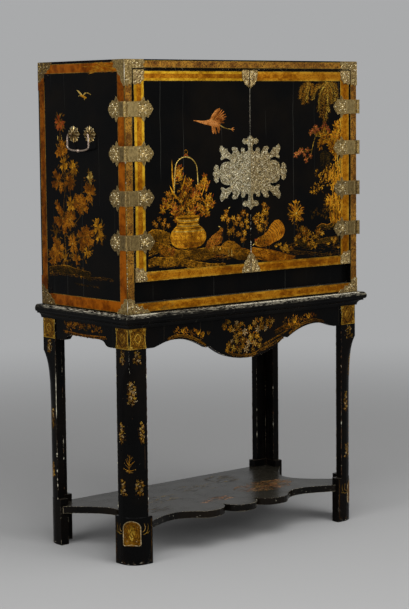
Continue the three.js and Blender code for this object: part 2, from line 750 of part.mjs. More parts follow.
function addStandTop(group) {
  const under = standHeight - standTopThickness;
  const nose = Array.from({ length: standTop.noseSteps + 1 }, (_, i) => {
    const turn = THREE.MathUtils.degToRad(mix(standTop.noseFrom, 90, i / standTop.noseSteps));
    return [
      topOverhang - standTop.noseOut * (1 - Math.cos(turn)),
      standHeight - standTop.noseRise * (1 - Math.sin(turn))
    ];
  });
  const profile = [[standTop.filletOut, under], [standTop.filletOut, nose[0][1]], ...nose];
  const rings = profile.map(([out, level]) => standRing(out, level));
  addPiece(group, 'stand_top', lofted(rings), 'wornLacquer');

  const foot = under - fitGap - mouldingHeight;
  const hollow = Array.from({ length: standTop.hollowSteps + 1 }, (_, i) => {
    const turn = (i / standTop.hollowSteps) * (Math.PI / 2);
    return standRing(
      standTop.hollowFoot + standTop.hollowOut * (1 - Math.cos(turn)),
      foot + mouldingHeight * Math.sin(turn)
    );
  });
  const frame = board(
    [-legSide - fitGap, legSide + fitGap],
    [legFront - fitGap, legBack + rearOverhang + cutOverrun],
    [foot - cutOverrun, under + cutOverrun]
  );
  addPiece(group, 'stand_moulding', cut(lofted(hollow), frame), 'lacquer');
}

// Undertier: a platform let in between the feet, its sides scooped and its front cut in lobes
const undertier = {
  backSetback: 14,
  sideSetback: 8,
  sideScoop: 114,
  frontSetback: 14,
  frontScoop: 60,
  crownReach: 268,
  shoulderReach: 180,
  notchReach: 66,
  notchSetback: 56,
  lobeProud: 3,
  sideShares: [[0.39, 0.29], [1, 0.61]],
  sweepShares: [[0.31, 0.33], [0.63, 0.98]],
  fallShares: [[0.49, 0], [0.77, 0.57]],
  lobeShares: [[0.175, -0.45], [0.88, -0.45]],
  middleShares: [[0.17, 0.71], [0.55, 1]]
};

function undertierOutline() {
  const end = legSide - flangeWidth - collarSpread - fitGap;
  const inner = legSide - flangeThickness - collarThickening - fitGap;
  const side = legSide - undertier.sideSetback;
  const backEnd = legBack - (legSide - end);
  const backInner = legBack - (legSide - inner);
  const frontEnd = legFront + (legSide - end);
  const frontInner = legFront + (legSide - inner);
  const back = legBack - undertier.backSetback;
  const scoop = [legSide - undertier.sideScoop, (legFront + legBack) / 2];
  const front = [end, legFront + undertier.frontSetback];
  const crown = [undertier.crownReach, legFront + undertier.frontScoop];
  const shoulder = [undertier.shoulderReach, legFront + undertier.frontSetback];
  const notch = [undertier.notchReach, legFront + undertier.notchSetback];
  const middle = [0, legFront - undertier.lobeProud];
  return bothHalves([
    [0, back], [end, back], [end, backInner], [inner, backInner], [inner, backEnd], [side, backEnd],
    ...eased([side, backEnd], scoop, undertier.sideShares),
    ...eased([side, frontEnd], scoop, undertier.sideShares).toReversed().slice(1), [side, frontEnd],
    [inner, frontEnd], [inner, frontInner], [end, frontInner], front,
    ...eased(front, crown, undertier.sweepShares),
    ...eased(crown, shoulder, undertier.fallShares),
    ...eased(shoulder, notch, undertier.lobeShares),
    ...eased(notch, middle, undertier.middleShares)
  ]);
}

function addUndertier(group) {
  const place = [0, 0, undertierTop - undertierThickness];
  addPiece(group, 'undertier', levelPlate(undertierOutline(), undertierThickness), 'wornLacquer', place);
}

const stand = new THREE.Group();
addLegs(stand);
addAprons(stand);
addStandTop(stand);
addUndertier(stand);

const upperCase = new THREE.Group();
addCase(upperCase);
addCaseMounts(upperCase);
addHandles(upperCase);

const doors = new THREE.Group();
addDoors(doors);
addDoorMounts(doors);
addLockPlates(doors);
addHinges(doors);

cabinet.add(stand, upperCase, doors);

export default cabinet;
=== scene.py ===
import bpy
import bmesh
import random
from functools import partial
from math import atan2, cos, exp, hypot, pi, radians, sin, sqrt
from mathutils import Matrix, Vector


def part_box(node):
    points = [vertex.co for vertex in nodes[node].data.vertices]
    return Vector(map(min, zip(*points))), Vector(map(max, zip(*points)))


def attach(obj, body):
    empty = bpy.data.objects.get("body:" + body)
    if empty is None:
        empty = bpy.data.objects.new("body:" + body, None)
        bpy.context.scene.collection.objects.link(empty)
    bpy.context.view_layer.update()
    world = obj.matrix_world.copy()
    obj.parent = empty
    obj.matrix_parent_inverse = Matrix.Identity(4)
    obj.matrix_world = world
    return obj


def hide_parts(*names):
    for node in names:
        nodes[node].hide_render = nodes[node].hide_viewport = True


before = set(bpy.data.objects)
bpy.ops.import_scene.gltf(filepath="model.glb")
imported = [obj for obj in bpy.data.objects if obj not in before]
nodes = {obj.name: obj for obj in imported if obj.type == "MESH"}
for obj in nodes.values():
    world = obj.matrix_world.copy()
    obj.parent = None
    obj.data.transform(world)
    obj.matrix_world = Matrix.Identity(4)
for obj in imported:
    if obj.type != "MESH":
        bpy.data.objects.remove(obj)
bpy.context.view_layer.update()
mm = 0.001
print("frame loaded,", len(nodes), "nodes")


def corners(node):   # lowest and highest corner of a node, in mm
    low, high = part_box(node)
    return [c / mm for c in low], [c / mm for c in high]


# places that the decoration is measured from, all in mm
caseLow, caseHigh = corners("case_top")
caseSide = caseHigh[0]
caseFront, caseBack = caseLow[1], caseHigh[1]
caseTop, ceiling = caseHigh[2], caseLow[2]
caseBase, floorTop = corners("case_bottom")[0][2], corners("case_bottom")[1][2]
doorLow, doorHigh = corners("door_left")[0], corners("door_right")[1]
meetingLeft, meetingRight = corners("door_left")[1][0], corners("door_right")[0][0]
legTop = corners("leg_front_left")[1][2]
undertierTop, standTop = corners("undertier")[1][2], corners("stand_top")[1][2]
sides = (("left", -1), ("right", 1))

# camera, standing where the photograph was taken from
cameraSet = {
    "place": (-3.7288, -4.4494, 1.4054),
    "yaw": 39.935, "pitch": -5.869, "roll": -0.584,   # degrees; yaw turns right from +Y
    "lens": 105, "sensor": 36,
    "shiftX": 0.00106, "shiftY": -0.0257,
}


def newObject(name, data):
    made = bpy.data.objects.new(name, data)
    bpy.context.scene.collection.objects.link(made)
    return made


def addCamera():
    yaw, pitch, roll = (radians(cameraSet[k]) for k in ("yaw", "pitch", "roll"))
    ahead = Vector((sin(yaw) * cos(pitch), cos(yaw) * cos(pitch), sin(pitch)))
    level = Vector((cos(yaw), -sin(yaw), 0))
    upright = level.cross(ahead)
    right = level * cos(roll) + upright * sin(roll)
    up = upright * cos(roll) - level * sin(roll)
    data = bpy.data.cameras.new("camera")
    data.sensor_fit = "AUTO"
    data.sensor_width = cameraSet["sensor"]
    data.lens = cameraSet["lens"]
    data.shift_x, data.shift_y = cameraSet["shiftX"], cameraSet["shiftY"]
    data.dof.use_dof = False
    data.clip_end = 100
    camera = newObject("camera", data)
    turn = camera.matrix_world.copy()
    for row in range(3):
        turn[row][0], turn[row][1], turn[row][2] = right[row], up[row], -ahead[row]
        turn[row][3] = cameraSet["place"][row]
    camera.matrix_world = turn
    bpy.context.scene.camera = camera


addCamera()
print("camera set")


def linear(code):   # sRGB hex to the linear values that shaders take
    channels = [int(code[i:i + 2], 16) / 255 for i in (1, 3, 5)]
    return [c / 12.92 if c <= 0.04045 else ((c + 0.055) / 1.055) ** 2.4 for c in channels] + [1]


def setInputs(node, inputs):   # by name, or a list in the node's own order
    for key, value in inputs.items() if isinstance(inputs, dict) else enumerate(inputs):
        if key == "Size":   # of a pattern, in mm
            key, value = "Scale", 1 / (value * mm)
        if isinstance(value, str):   # a colour
            value = linear(value)
        if isinstance(value, bpy.types.Node):   # its first live output
            value = next(socket for socket in value.outputs if socket.enabled)
        if isinstance(value, bpy.types.NodeSocket):
            node.id_data.links.new(value, node.inputs[key])
        else:
            node.inputs[key].default_value = value


def addNode(tree, kind, inputs=(), stops=(), **settings):
    node = tree.nodes.new("ShaderNode" + kind)
    for key, value in settings.items():
        setattr(node, key, value)
    setInputs(node, inputs)
    for i, (place, code) in enumerate(stops):
        spot = node.color_ramp.elements[i] if i < 2 else node.color_ramp.elements.new(place)
        spot.position, spot.color = place, linear(code)
    return node


def emptyTree(holder):   # of a material or the world, as an add-node function that is bound to it
    holder.use_nodes = True
    holder.node_tree.nodes.clear()
    return partial(addNode, holder.node_tree)


finishes = {}


def newMaterial(name, **values):
    finishes[name] = bpy.data.materials.new(name)
    add = emptyTree(finishes[name])
    shader = add("BsdfPrincipled", {k.replace("_", " "): v for k, v in values.items()})
    add("OutputMaterial", {"Surface": shader})
    return add, add("TexCoord").outputs["Object"], shader


# studio: one pale floor that runs out into the same pale grey all round, and soft boxes
studio = {
    "floor": "#a2a2a2", "far": "#a9aaab",
    "fadeFrom": 1.4, "fadeTo": 5, "reach": 60,   # metres from the cabinet
    "skyLight": 0.34,
    "boxes": {   # place, size in metres, watts
        "overhead": ((-0.6, -1.6, 3.6), (3.2, 3.2), 105),
        "left": ((-4.2, -0.6, 2), (2, 2.6), 74),
        "front": ((0.6, -4.6, 2.4), (2.6, 2.2), 78),
    },
    "aim": (0, 0, 0.9),
}


def raysSeen(add, *kinds):   # tells whether a ray is of one of these kinds
    rays = add("LightPath")
    seen = rays.outputs[f"Is {kinds[0]} Ray"]
    for kind in kinds[1:]:
        seen = add("Math", [seen, rays.outputs[f"Is {kind} Ray"]], operation="ADD", use_clamp=True)
    return seen


def addStudio():
    add, place, shader = newMaterial("paintedStudioFloor", Base_Color=studio["floor"], Roughness=0.9,
        Specular_IOR_Level=0.1)
    far = add("VectorMath", [place], operation="LENGTH")
    fade = add("MapRange", {"Value": far, "From Min": studio["fadeFrom"], "From Max": studio["fadeTo"]},
        interpolation_type="SMOOTHSTEP")
    share = add("Math", [fade, raysSeen(add, "Camera", "Glossy")], operation="MULTIPLY")
    glow = add("Emission", {"Color": studio["far"]})
    output = shader.outputs[0].links[0].to_node
    setInputs(output, {"Surface": add("MixShader", [share, shader, glow])})

    mesh = bpy.data.meshes.new("studio_floor")
    form = bmesh.new()
    turns = [2 * pi * i / 96 for i in range(96)]
    rim = [form.verts.new((cos(a) * studio["reach"], sin(a) * studio["reach"], 0)) for a in turns]
    form.faces.new(rim)
    form.to_mesh(mesh)
    form.free()
    mesh.materials.append(finishes["paintedStudioFloor"])
    floor = newObject("studio_floor", mesh)

    world = bpy.context.scene.world = bpy.data.worlds.new("studio")
    add = emptyTree(world)
    seen = raysSeen(add, "Camera", "Glossy", "Transmission")
    soft = add("Background", {"Color": "#ffffff", "Strength": studio["skyLight"]})
    plain = add("Background", {"Color": studio["far"], "Strength": 1})
    add("OutputWorld", {"Surface": add("MixShader", [seen, soft, plain])})

    for name, (spot, size, watts) in studio["boxes"].items():
        data = bpy.data.lights.new("softbox_" + name, "AREA")
        data.shape = "RECTANGLE"
        data.size, data.size_y = size
        data.energy = watts
        box = newObject("softbox_" + name, data)
        box.location = spot
        box.rotation_euler = (Vector(studio["aim"]) - Vector(spot)).to_track_quat("-Z", "Y").to_euler()


addStudio()
bpy.context.scene.view_settings.view_transform = "Standard"
print("studio lit")


# japanning: black shellac varnish over gesso on pine, rubbed brown and chipped to the gesso along its edges
japanning = {
    "japannedCase": {
        "black": "#060606", "brown": "#0d0a07", "umber": "#3d2614", "gesso": "#b5a586", "split": "#33332e",
        "dust": "#3a3731", "gloss": (0.18, 0.3), "sheen": 0.035, "edge": 1.4, "chip": 7, "rubbed": 1.36,
        "bared": 1.5, "cracks": 95,
    },
    "japannedStand": {
        "black": "#060606", "brown": "#0e0a07", "umber": "#4a3220", "gesso": "#d0c4a8", "split": "#2c261e",
        "dust": "#2e2a24", "gloss": (0.2, 0.36), "sheen": 0.04, "edge": 2, "chip": 6, "rubbed": 1.36,
        "bared": 1.48, "cracks": 60,
    },
    # the stand top's dust film also paints a sheen on its nose
    "japannedTop": {
        "black": "#050505", "brown": "#100e0b", "umber": "#4a4538", "gesso": "#c4bea8", "split": "#3c3a32",
        "dust": "#7e7867", "gloss": (0.25, 0.4), "sheen": 0.05, "edge": 4, "chip": 4,
        "rubbed": 1.2, "bared": 1.34, "cracks": 130, "lies": (0.05, 0.5), "patchy": (0.5, 0.6, 0.02),
        "knock": (0.05, 0.3), "rubbedOff": (-0.34, -0.12, 0.36),
    },
    # the platform's dust film also paints a sheen on its top
    "japannedTier": {
        "black": "#080706", "brown": "#15100a", "umber": "#4a3118", "gesso": "#b8ab8e", "split": "#3a362c",
        "dust": "#2f2c25", "gloss": (0.2, 0.3), "sheen": 0.085, "edge": 2, "chip": 7,
        "rubbed": 1.3, "bared": 1.38, "cracks": 120,
    },
}
# within these the boards are bare
insideCase = {"side": 457.8, "top": 1520.8, "low": 900, "front": -195.4}
lacquerSizes = {   # of each pattern in the lacquer, in mm
    "cloud": 140, "run": 90, "waver": 180, "streak": 3, "handling": 60, "ripple": 9,
}


# the face's direction, and how near an edge a place is
def edgeFound(add, radius, samples, start, most=1):
    soft = add("Bevel", {"Radius": radius * mm}, samples=samples)
    facing = add("NewGeometry").outputs["Normal"]
    bend = add("VectorMath", [soft, facing], operation="DOT_PRODUCT")
    return facing, add("MapRange", {"Value": bend, "From Min": start, "From Max": 0.8, "To Max": most})


def japannedLacquer(name):
    look = japanning[name]
    add, place, shader = newMaterial(name, IOR=1.5, Specular_IOR_Level=look["sheen"])
    cloud = add("TexNoise", {"Vector": place, "Size": lacquerSizes["cloud"], "Detail": 5})
    tone = add("MapRange", {"Value": cloud, "From Min": 0.42, "From Max": 0.72})
    base = add("Mix", {0: tone, 6: look["black"], 7: look["brown"]}, data_type="RGBA")

    facing, edge = edgeFound(add, look["edge"], 6, 0.97)
    lie = add("SeparateXYZ", [facing])
    least, most = look.get("knock", (-0.5, -0.15))
    # nothing rubs the undersides
    knocked = add("MapRange", {"Value": lie.outputs[2], "From Min": least, "From Max": most})
    edge = add("Math", [edge, knocked], operation="MULTIPLY")
    bits = add("TexNoise", {"Vector": place, "Size": look["chip"], "Detail": 4, "Roughness": 0.65})
    runs = add("TexNoise", {"Vector": place, "Size": lacquerSizes["run"], "Detail": 2})
    uneven = add("Math", [runs, 0.6, bits], operation="MULTIPLY_ADD")
    worn = add("Math", [edge, 0.6, uneven], operation="MULTIPLY_ADD")
    rubbed = add("MapRange", {"Value": worn, "From Min": look["rubbed"], "From Max": look["rubbed"] + 0.1})
    bared = add("MapRange", {"Value": worn, "From Min": look["bared"], "From Max": look["bared"] + 0.03})
    browned = add("Mix", {0: rubbed, 6: base, 7: look["umber"]}, data_type="RGBA")

    axes = add("SeparateXYZ", [place])   # splits run straight up the boards
    across = add("Math", [axes.outputs[0], axes.outputs[1]], operation="ADD")
    waver = add("TexNoise", {"W": axes.outputs[2], "Size": lacquerSizes["waver"], "Detail": 3},
        noise_dimensions="1D")
    bent = add("Math", [waver, 9 * mm, across], operation="MULTIPLY_ADD")
    cells = add("TexVoronoi", {"W": bent, "Size": look["cracks"]}, feature="DISTANCE_TO_EDGE",
        voronoi_dimensions="1D")
    # drawn 1.4 mm wide so that it shows
    crack = add("MapRange", {"Value": cells, "From Min": 0.7 / look["cracks"],
            "From Max": 0.3 / look["cracks"]})
    drawnOut = add("Mapping", {"Vector": place, "Scale": (18, 18, 3.2)})
    parts = add("TexNoise", {"Vector": drawnOut, "Scale": 1, "Detail": 2})
    where = add("MapRange", {"Value": parts, "From Min": 0.5, "From Max": 0.6})
    split = add("Math", [crack, where], operation="MULTIPLY")
    dusty = add("Mix", {0: split, 6: browned, 7: look["split"]}, data_type="RGBA")
    chipped = add("Mix", {0: bared, 6: dusty, 7: look["gesso"]}, data_type="RGBA")

    low, high = look.get("lies", (0.9, 0.99))   # dust on what faces up; on the stand top's nose, down its steep upper curve, and on the platform's top it is also a painted sheen
    level = add("MapRange", {"Value": lie.outputs[2], "From Min": low, "From Max": high})
    thin, thick, least = look.get("patchy", (0.2, 0.8, 0.5))
    streaked = add("Mapping", {"Vector": place, "Scale": (0.13, 0.13, 1)})
    streaks = add("TexNoise", {"Vector": streaked, "Size": lacquerSizes["streak"], "Detail": 3,
            "Roughness": 0.65})
    filmPatches = add("MapRange", {"Value": streaks, "From Min": thin, "From Max": thick, "To Min": least,
            "To Max": 1})
    film = add("Math", [level, filmPatches], operation="MULTIPLY")
    filmFrom, filmTo, leftover = look.get("rubbedOff", (-2, -1, 1))   # the film thins towards the low x end
    thinnedEnd = add("MapRange", {"Value": axes.outputs[0], "From Min": filmFrom, "From Max": filmTo,
            "To Min": leftover, "To Max": 1})
    film = add("Math", [film, thinnedEnd], operation="MULTIPLY")
    chipped = add("Mix", {0: film, 6: chipped, 7: look["dust"]}, data_type="RGBA")

    aside = add("Math", [axes.outputs[0]], operation="ABSOLUTE")
    inside = None
    for value, test, key in ((aside, "LESS_THAN", "side"), (axes.outputs[2], "LESS_THAN", "top"),
            (axes.outputs[2], "GREATER_THAN", "low"), (axes.outputs[1], "GREATER_THAN", "front")):
        within = add("Math", [value, insideCase[key] * mm], operation=test)
        inside = within if inside is None else add("Math", [inside, within], operation="MULTIPLY")
    grainway = add("Mapping", {"Vector": place, "Scale": (1, 1, 0.06)})
    grain = add("TexNoise", {"Vector": grainway, "Size": 5, "Detail": 5, "Distortion": 0.4})
    board = add("Mix", {0: grain, 6: pine["dark"], 7: pine["light"]}, data_type="RGBA")
    surface = add("Mix", {0: inside, 6: chipped, 7: board}, data_type="RGBA")

    handled = add("TexNoise", {"Vector": place, "Size": lacquerSizes["handling"], "Detail": 6})
    gloss = add("MapRange", {"Value": handled, "From Min": 0.3, "From Max": 0.7, "To Min": look["gloss"][0],
            "To Max": look["gloss"][1]})
    dull = add("Math", [rubbed, inside], operation="MAXIMUM")
    duller = add("Math", [gloss, dull], operation="MAXIMUM")
    limit = add("Math", [duller, 0.7], operation="MINIMUM")

    ripple = add("TexNoise", {"Vector": place, "Size": lacquerSizes["ripple"], "Detail": 3})
    depth = add("Math", [bared, -3, ripple], operation="MULTIPLY_ADD")
    sunk = add("Math", [depth, split], operation="SUBTRACT")
    bump = add("Bump", {"Height": sunk, "Strength": 0.35, "Distance": 0.12 * mm})
    setInputs(shader, {"Base Color": surface, "Roughness": limit, "Normal": bump})


# gilding: gold and bronze powders laid in varnish, uneven, thin in places down to the red or black under it
gilding = {   # three tones and the ground under them, share of metal, roughness, fleck in mm, share worn thin
    "borderGold": ("#ba9022", "#a17612", "#80580a", "#5a3a08", 0.3, 0.42, 3.2, 0.33),
    "borderAmber": ("#a6741a", "#8e5c0c", "#6e4106", "#482a06", 0.3, 0.42, 3.2, 0.34),
    "borderHeart": ("#a06812", "#885207", "#683803", "#4c2603", 0.3, 0.42, 3, 0.4),
    "borderRed": ("#944f08", "#7c3f04", "#5c2a02", "#341502", 0.3, 0.45, 5, 0.34),
    "borderDeep": ("#7e4407", "#673404", "#4a2203", "#281203", 0.3, 0.46, 4, 0.36),
    "borderFaded": ("#946824", "#7a511c", "#593814", "#2e1c0e", 0.25, 0.48, 3.4, 0.42),
    "edgeGold": ("#8a6c2c", "#6f551e", "#4e3a14", "#2a1f0c", 0.35, 0.42, 6, 0.38),
    "blockGold": ("#7e5614", "#623e0a", "#442905", "#241606", 0.3, 0.42, 4, 0.42),
    "lineGold": ("#b08e36", "#8e6d20", "#62490e", "#2c1c0a", 0.4, 0.4, 5, 0.38),
    "leafGold": ("#c88e1e", "#9e6a10", "#6b4206", "#1e1206", 0.35, 0.4, 3.4, 0.38),
    "orangeGold": ("#b57318", "#8e500a", "#5e2f05", "#221006", 0.3, 0.42, 3.4, 0.39),
    "bushGold": ("#9e6210", "#794406", "#4e2803", "#1a0c03", 0.3, 0.42, 3.4, 0.4),
    "roseGold": ("#b2733a", "#945822", "#683810", "#2a160c", 0.3, 0.42, 3.4, 0.38),
    "bronzeGold": ("#7e520f", "#5a3a08", "#392404", "#140d04", 0.3, 0.46, 3.4, 0.43),
    "copperRed": ("#9a4a1c", "#76300b", "#4c1d05", "#1c0c06", 0.25, 0.44, 3.4, 0.38),
    "coralRed": ("#a5543f", "#843324", "#5a2016", "#240e0a", 0.15, 0.46, 3.4, 0.36),
    "paleGold": ("#cbab5a", "#a08138", "#6a521c", "#1c170c", 0.4, 0.38, 3.4, 0.4),
    "creamGold": ("#bca983", "#94825f", "#5e4d30", "#1c150c", 0.2, 0.44, 3.4, 0.38),
    "badgeGold": ("#b89050", "#94702f", "#604418", "#2e1e0c", 0.3, 0.42, 4, 0.38),
    "sprinkledGold": ("#6e4f16", "#49350c", "#2a1e07", "#0c0a05", 0.15, 0.5, 2.4, 0.52),
    "rubbedCopper": ("#c48c5e", "#9a663c", "#5c381e", "#2a1c12", 0.1, 0.34, 5, 0.44),
    "rubbedGold": ("#8c743c", "#6b572a", "#4a3c1e", "#28231a", 0.1, 0.34, 5, 0.44),
}


def powderGilding(name):
    light, middle, deep, under, metal, dulled, size, cover = gilding[name]
    add, place, shader = newMaterial(name, Metallic=metal, Specular_IOR_Level=0.02)
    drift = add("TexNoise", {"Vector": place, "Size": size * 5, "Detail": 4, "Roughness": 0.6})
    slow = add("TexNoise", {"Vector": place, "Size": 90, "Detail": 2})
    mixed = add("Math", [slow, 0.8, drift], operation="MULTIPLY_ADD")
    tint = add("ValToRGB", {"Fac": mixed}, stops=[(0.7, deep), (1.06, light), (0.88, middle)])
    flecks = add("TexNoise", {"Vector": place, "Size": size, "Detail": 5, "Roughness": 0.7})
    thin = add("MapRange", {"Value": flecks, "From Min": cover + 0.08, "From Max": cover})
    colour = add("Mix", {0: thin, 6: tint, 7: under}, data_type="RGBA")
    rough = add("MapRange", {"Value": flecks, "From Min": 0.3, "From Max": 0.7, "To Min": dulled + 0.12,
            "To Max": dulled - 0.06})
    bump = add("Bump", {"Height": flecks, "Strength": 0.4, "Distance": 0.15 * mm})
    setInputs(shader, {"Base Color": colour, "Roughness": rough, "Normal": bump})


# brass: cast or cut from sheet, engraved, once gilt; bright on what stands up and brown in the cuts
# polish, body, cut and glint, roughness, width of cut in mm, its depth, grain in mm, share of glints
brassWork = {
    "engravedBrass": ("#ab9056", "#78602e", "#2a210e", "#d2bd86", 0.36, 2.2, 0.8, 3, 0.4),
    "darkenedBrass": ("#7a5c28", "#4c3817", "#281d0c", "#c4a868", 0.42, 2.6, 0.7, 2.6, 0.5),
    "strapBrass": ("#9c8656", "#7b683e", "#544526", "#b09a68", 0.34, 9, 0.2, 3, 0.3),
    # a darker copy of the engraved brass: painted shade for the lower hinges
    "tarnishedBrass": ("#927a48", "#675128", "#241c0b", "#b8a470", 0.38, 2.2, 0.8, 3, 0.4),
    "shadedStrap": ("#7f6c43", "#62502c", "#42341b", "#9a8656", 0.36, 9, 0.2, 3, 0.3),
    "silveredBrass": ("#b8ab80", "#7b6c43", "#241e08", "#f4ecd0", 0.38, 2.6, 0.9, 3.2, 0.9),
    "rubbedSilver": ("#a68f5c", "#6e592c", "#221a08", "#e8dab0", 0.38, 2.6, 0.9, 3.2, 0.85),
    "bailBrass": ("#b39c86", "#7c6656", "#4c3a2e", "#f4e8d8", 0.26, 9, 0.15, 3, 0.5),
    # near-white metal for painted highlight lines
    "whitePolish": ("#fffaf0", "#f4e8cc", "#c8b88e", "#fffcf2", 0.42, 20, 0.05, 3, 0.6),
    "handledBrass": ("#cdb47c", "#8d7240", "#4c3818", "#eadcae", 0.24, 9, 0.15, 3, 0.5),
    "chasedBrass": ("#b0935a", "#866a30", "#4a3615", "#dcc68e", 0.28, 6, 0.3, 3, 0.4),
    # near-white metal for pin heads and specks: a painted glint
    "brightPin": ("#fff3cf", "#e2d09c", "#8a7642", "#fff8e0", 0.22, 20, 0.05, 3, 0.6),
}


def engravedPlate(name):
    high, body, low, glint, dulled, line, deep, size, sparks = brassWork[name]
    add, place, shader = newMaterial(name, Metallic=0.82)
    swirl = add("TexNoise", {"Vector": place, "Size": line * 2, "Detail": 1, "Distortion": 2.2})
    scroll = add("Math", [swirl, 0.07], operation="PINGPONG")
    # burin lines in curls
    cut = add("MapRange", {"Value": scroll, "From Min": 0.03, "From Max": 0.006})
    patina = add("TexNoise", {"Vector": place, "Size": 9, "Detail": 5, "Roughness": 0.65})
    tint = add("ValToRGB", {"Fac": patina}, stops=[(0.28, low), (0.7, high), (0.44, body)])
    share = add("Math", [cut, deep], operation="MULTIPLY")
    colour = add("Mix", {0: share, 6: tint, 7: low}, data_type="RGBA")
    grain = add("TexNoise", {"Vector": place, "Size": size, "Detail": 2, "Roughness": 0.6})
    # punched grounds catch the light
    stipple = add("MapRange", {"Value": grain, "From Min": 0.54, "From Max": 0.64, "To Max": sparks})
    edge = edgeFound(add, 1.2, 4, 0.96, 0.8)[1]   # painted highlight along the edges, which are also polished by use
    lit = add("Math", [stipple, edge], operation="MAXIMUM")
    bright = add("Mix", {0: lit, 6: colour, 7: glint}, data_type="RGBA")
    rough = add("MapRange", {"Value": patina, "From Min": 0.3, "From Max": 0.7, "To Min": dulled + 0.16,
            "To Max": dulled})
    height = add("Math", [cut, -1, grain], operation="MULTIPLY_ADD")
    bump = add("Bump", {"Height": height, "Strength": deep, "Distance": 0.3 * mm})
    setInputs(shader, {"Base Color": bright, "Roughness": rough, "Normal": bump})


# what shows where the japanning is lost: chalky gesso, its grey prime, and the wood's brown, which also
# paints shade on the lower rosette petals
wornGrounds = {
    "bareGesso": ("#e0dac6", "#b4ab92"), "greyPrime": ("#8d8778", "#625d50"),
    "brownedWood": ("#6b4a2c", "#3f2a18"),
}


def chalkyGround(name):
    add, place, shader = newMaterial(name, Roughness=0.7, Specular_IOR_Level=0.2)
    soil = add("TexNoise", {"Vector": place, "Size": 5, "Detail": 4})
    colour = add("Mix", {0: soil, 6: wornGrounds[name][0], 7: wornGrounds[name][1]}, data_type="RGBA")
    setInputs(shader, {"Base Color": colour})


# pine, planed and left bare inside and behind, gone brown with age
pine = {"light": "#7a5a38", "dark": "#4b321d", "line": 4, "along": {"x": (0.06, 1, 1), "z": (1, 1, 0.06)}}


def agedPine(name, along):
    add, place, shader = newMaterial(name, Roughness=0.72, Specular_IOR_Level=0.25)
    grainway = add("Mapping", {"Vector": place, "Scale": pine["along"][along]})
    bow = add("TexNoise", {"Vector": grainway, "Size": 40, "Detail": 2})
    rings = add("TexNoise", {"Vector": grainway, "Size": pine["line"], "Detail": 6, "Distortion": 0.4})
    both = add("Math", [bow, 0.7, rings], operation="MULTIPLY_ADD")
    share = add("MapRange", {"Value": both, "From Min": 0.62, "From Max": 1.1})
    colour = add("Mix", {0: share, 6: pine["dark"], 7: pine["light"]}, data_type="RGBA")
    bump = add("Bump", {"Height": rings, "Strength": 0.3, "Distance": 0.2 * mm})
    setInputs(shader, {"Base Color": colour, "Normal": bump})


# iron, filed bright once and now grey brown
iron = {"metal": "#5a5652", "rust": "#3a2419"}


def filedIron(name):
    add, place, shader = newMaterial(name, Metallic=0.85, Roughness=0.45)
    bloom = add("TexNoise", {"Vector": place, "Size": 8, "Detail": 6})
    share = add("MapRange", {"Value": bloom, "From Min": 0.48, "From Max": 0.66})
    colour = add("Mix", {0: share, 6: iron["metal"], 7: iron["rust"]}, data_type="RGBA")
    setInputs(shader, {"Base Color": colour})


for makeFinish, looks in ((japannedLacquer, japanning), (powderGilding, gilding), (engravedPlate, brassWork),
        (chalkyGround, wornGrounds)):
    for name in looks:
        makeFinish(name)
agedPine("pineAcross", "x")
agedPine("pineUpright", "z")
filedIron("filedIron")
print("finishes made:", len(finishes))

# which finish each carried node takes, by the start of its name
nodeFinishes = {
    "case_back": "pineUpright", "case_mount": "engravedBrass", "case_": "japannedCase",
    "base_panel": "japannedCase", "inner_": "pineAcross", "door_mount": "engravedBrass",
    "door_": "japannedCase", "hinge_": "engravedBrass", "lock_plate": "silveredBrass",
    "lock_plate_right": "rubbedSilver", "lock_": "filedIron", "bail_": "bailBrass",
    "rosette_": "handledBrass", "leg_": "japannedStand", "apron_": "japannedStand",
    "stand_top": "japannedTop", "stand_moulding": "japannedTop", "undertier": "japannedTier",
}
# the lower two hinges take the darker copy of the engraved brass, a painted shade
nodeFinishes.update({f"hinge_{name}_{i}": "tarnishedBrass" for name, hand in sides for i in (1, 2)})
softened = {"leg_": 34, "bail_": 50, "rosette_": 40, "hinge_": 40, "stand_": 24, "undertier": 24}


def dressNodes():
    for name, piece in nodes.items():
        start = max((s for s in nodeFinishes if name.startswith(s)), key=len)
        piece.data.materials.clear()
        piece.data.materials.append(finishes[nodeFinishes[start]])
        angle = next((a for s, a in softened.items() if name.startswith(s)), None)
        if angle:
            piece.data.shade_smooth()
            piece.data.set_sharp_from_angle(angle=radians(angle))


dressNodes()
print("nodes dressed")

# raised gold: strokes of gold powder over a built-up ground, each one a low ridge on the lacquer
# a shape gives its breadth along it, as shares of the greatest
chance = random.Random(11)
between = chance.uniform
widthShares = {
    "stem": (0.7, 1, 0.95, 0.8, 0.5),
    "leaf": (0.25, 0.85, 1, 0.7, 0.08),
    "petal": (0.3, 0.75, 1, 0.95, 0.4),
    "blade": (0.7, 1, 0.85, 0.5, 0.06),
    "band": (1, 1),
    "plume": (0.15, 0.45, 0.8, 1, 0.45),
}


def shareAt(shares, t):
    spot = t * (len(shares) - 1)
    i = min(int(spot), len(shares) - 2)
    return shares[i] + (shares[i + 1] - shares[i]) * (spot - i)


def bowed(start, end, bend, steps):   # a curve that bows to its left by a share of its length
    (u0, v0), (u1, v1) = start, end
    um, vm = (u0 + u1) / 2 - (v1 - v0) * bend, (v0 + v1) / 2 + (u1 - u0) * bend
    line = []
    for i in range(steps):
        t = i / (steps - 1)
        a, b, c = (1 - t) ** 2, 2 * t * (1 - t), t * t
        line.append((a * u0 + b * um + c * u1, a * v0 + b * vm + c * v1))
    return line


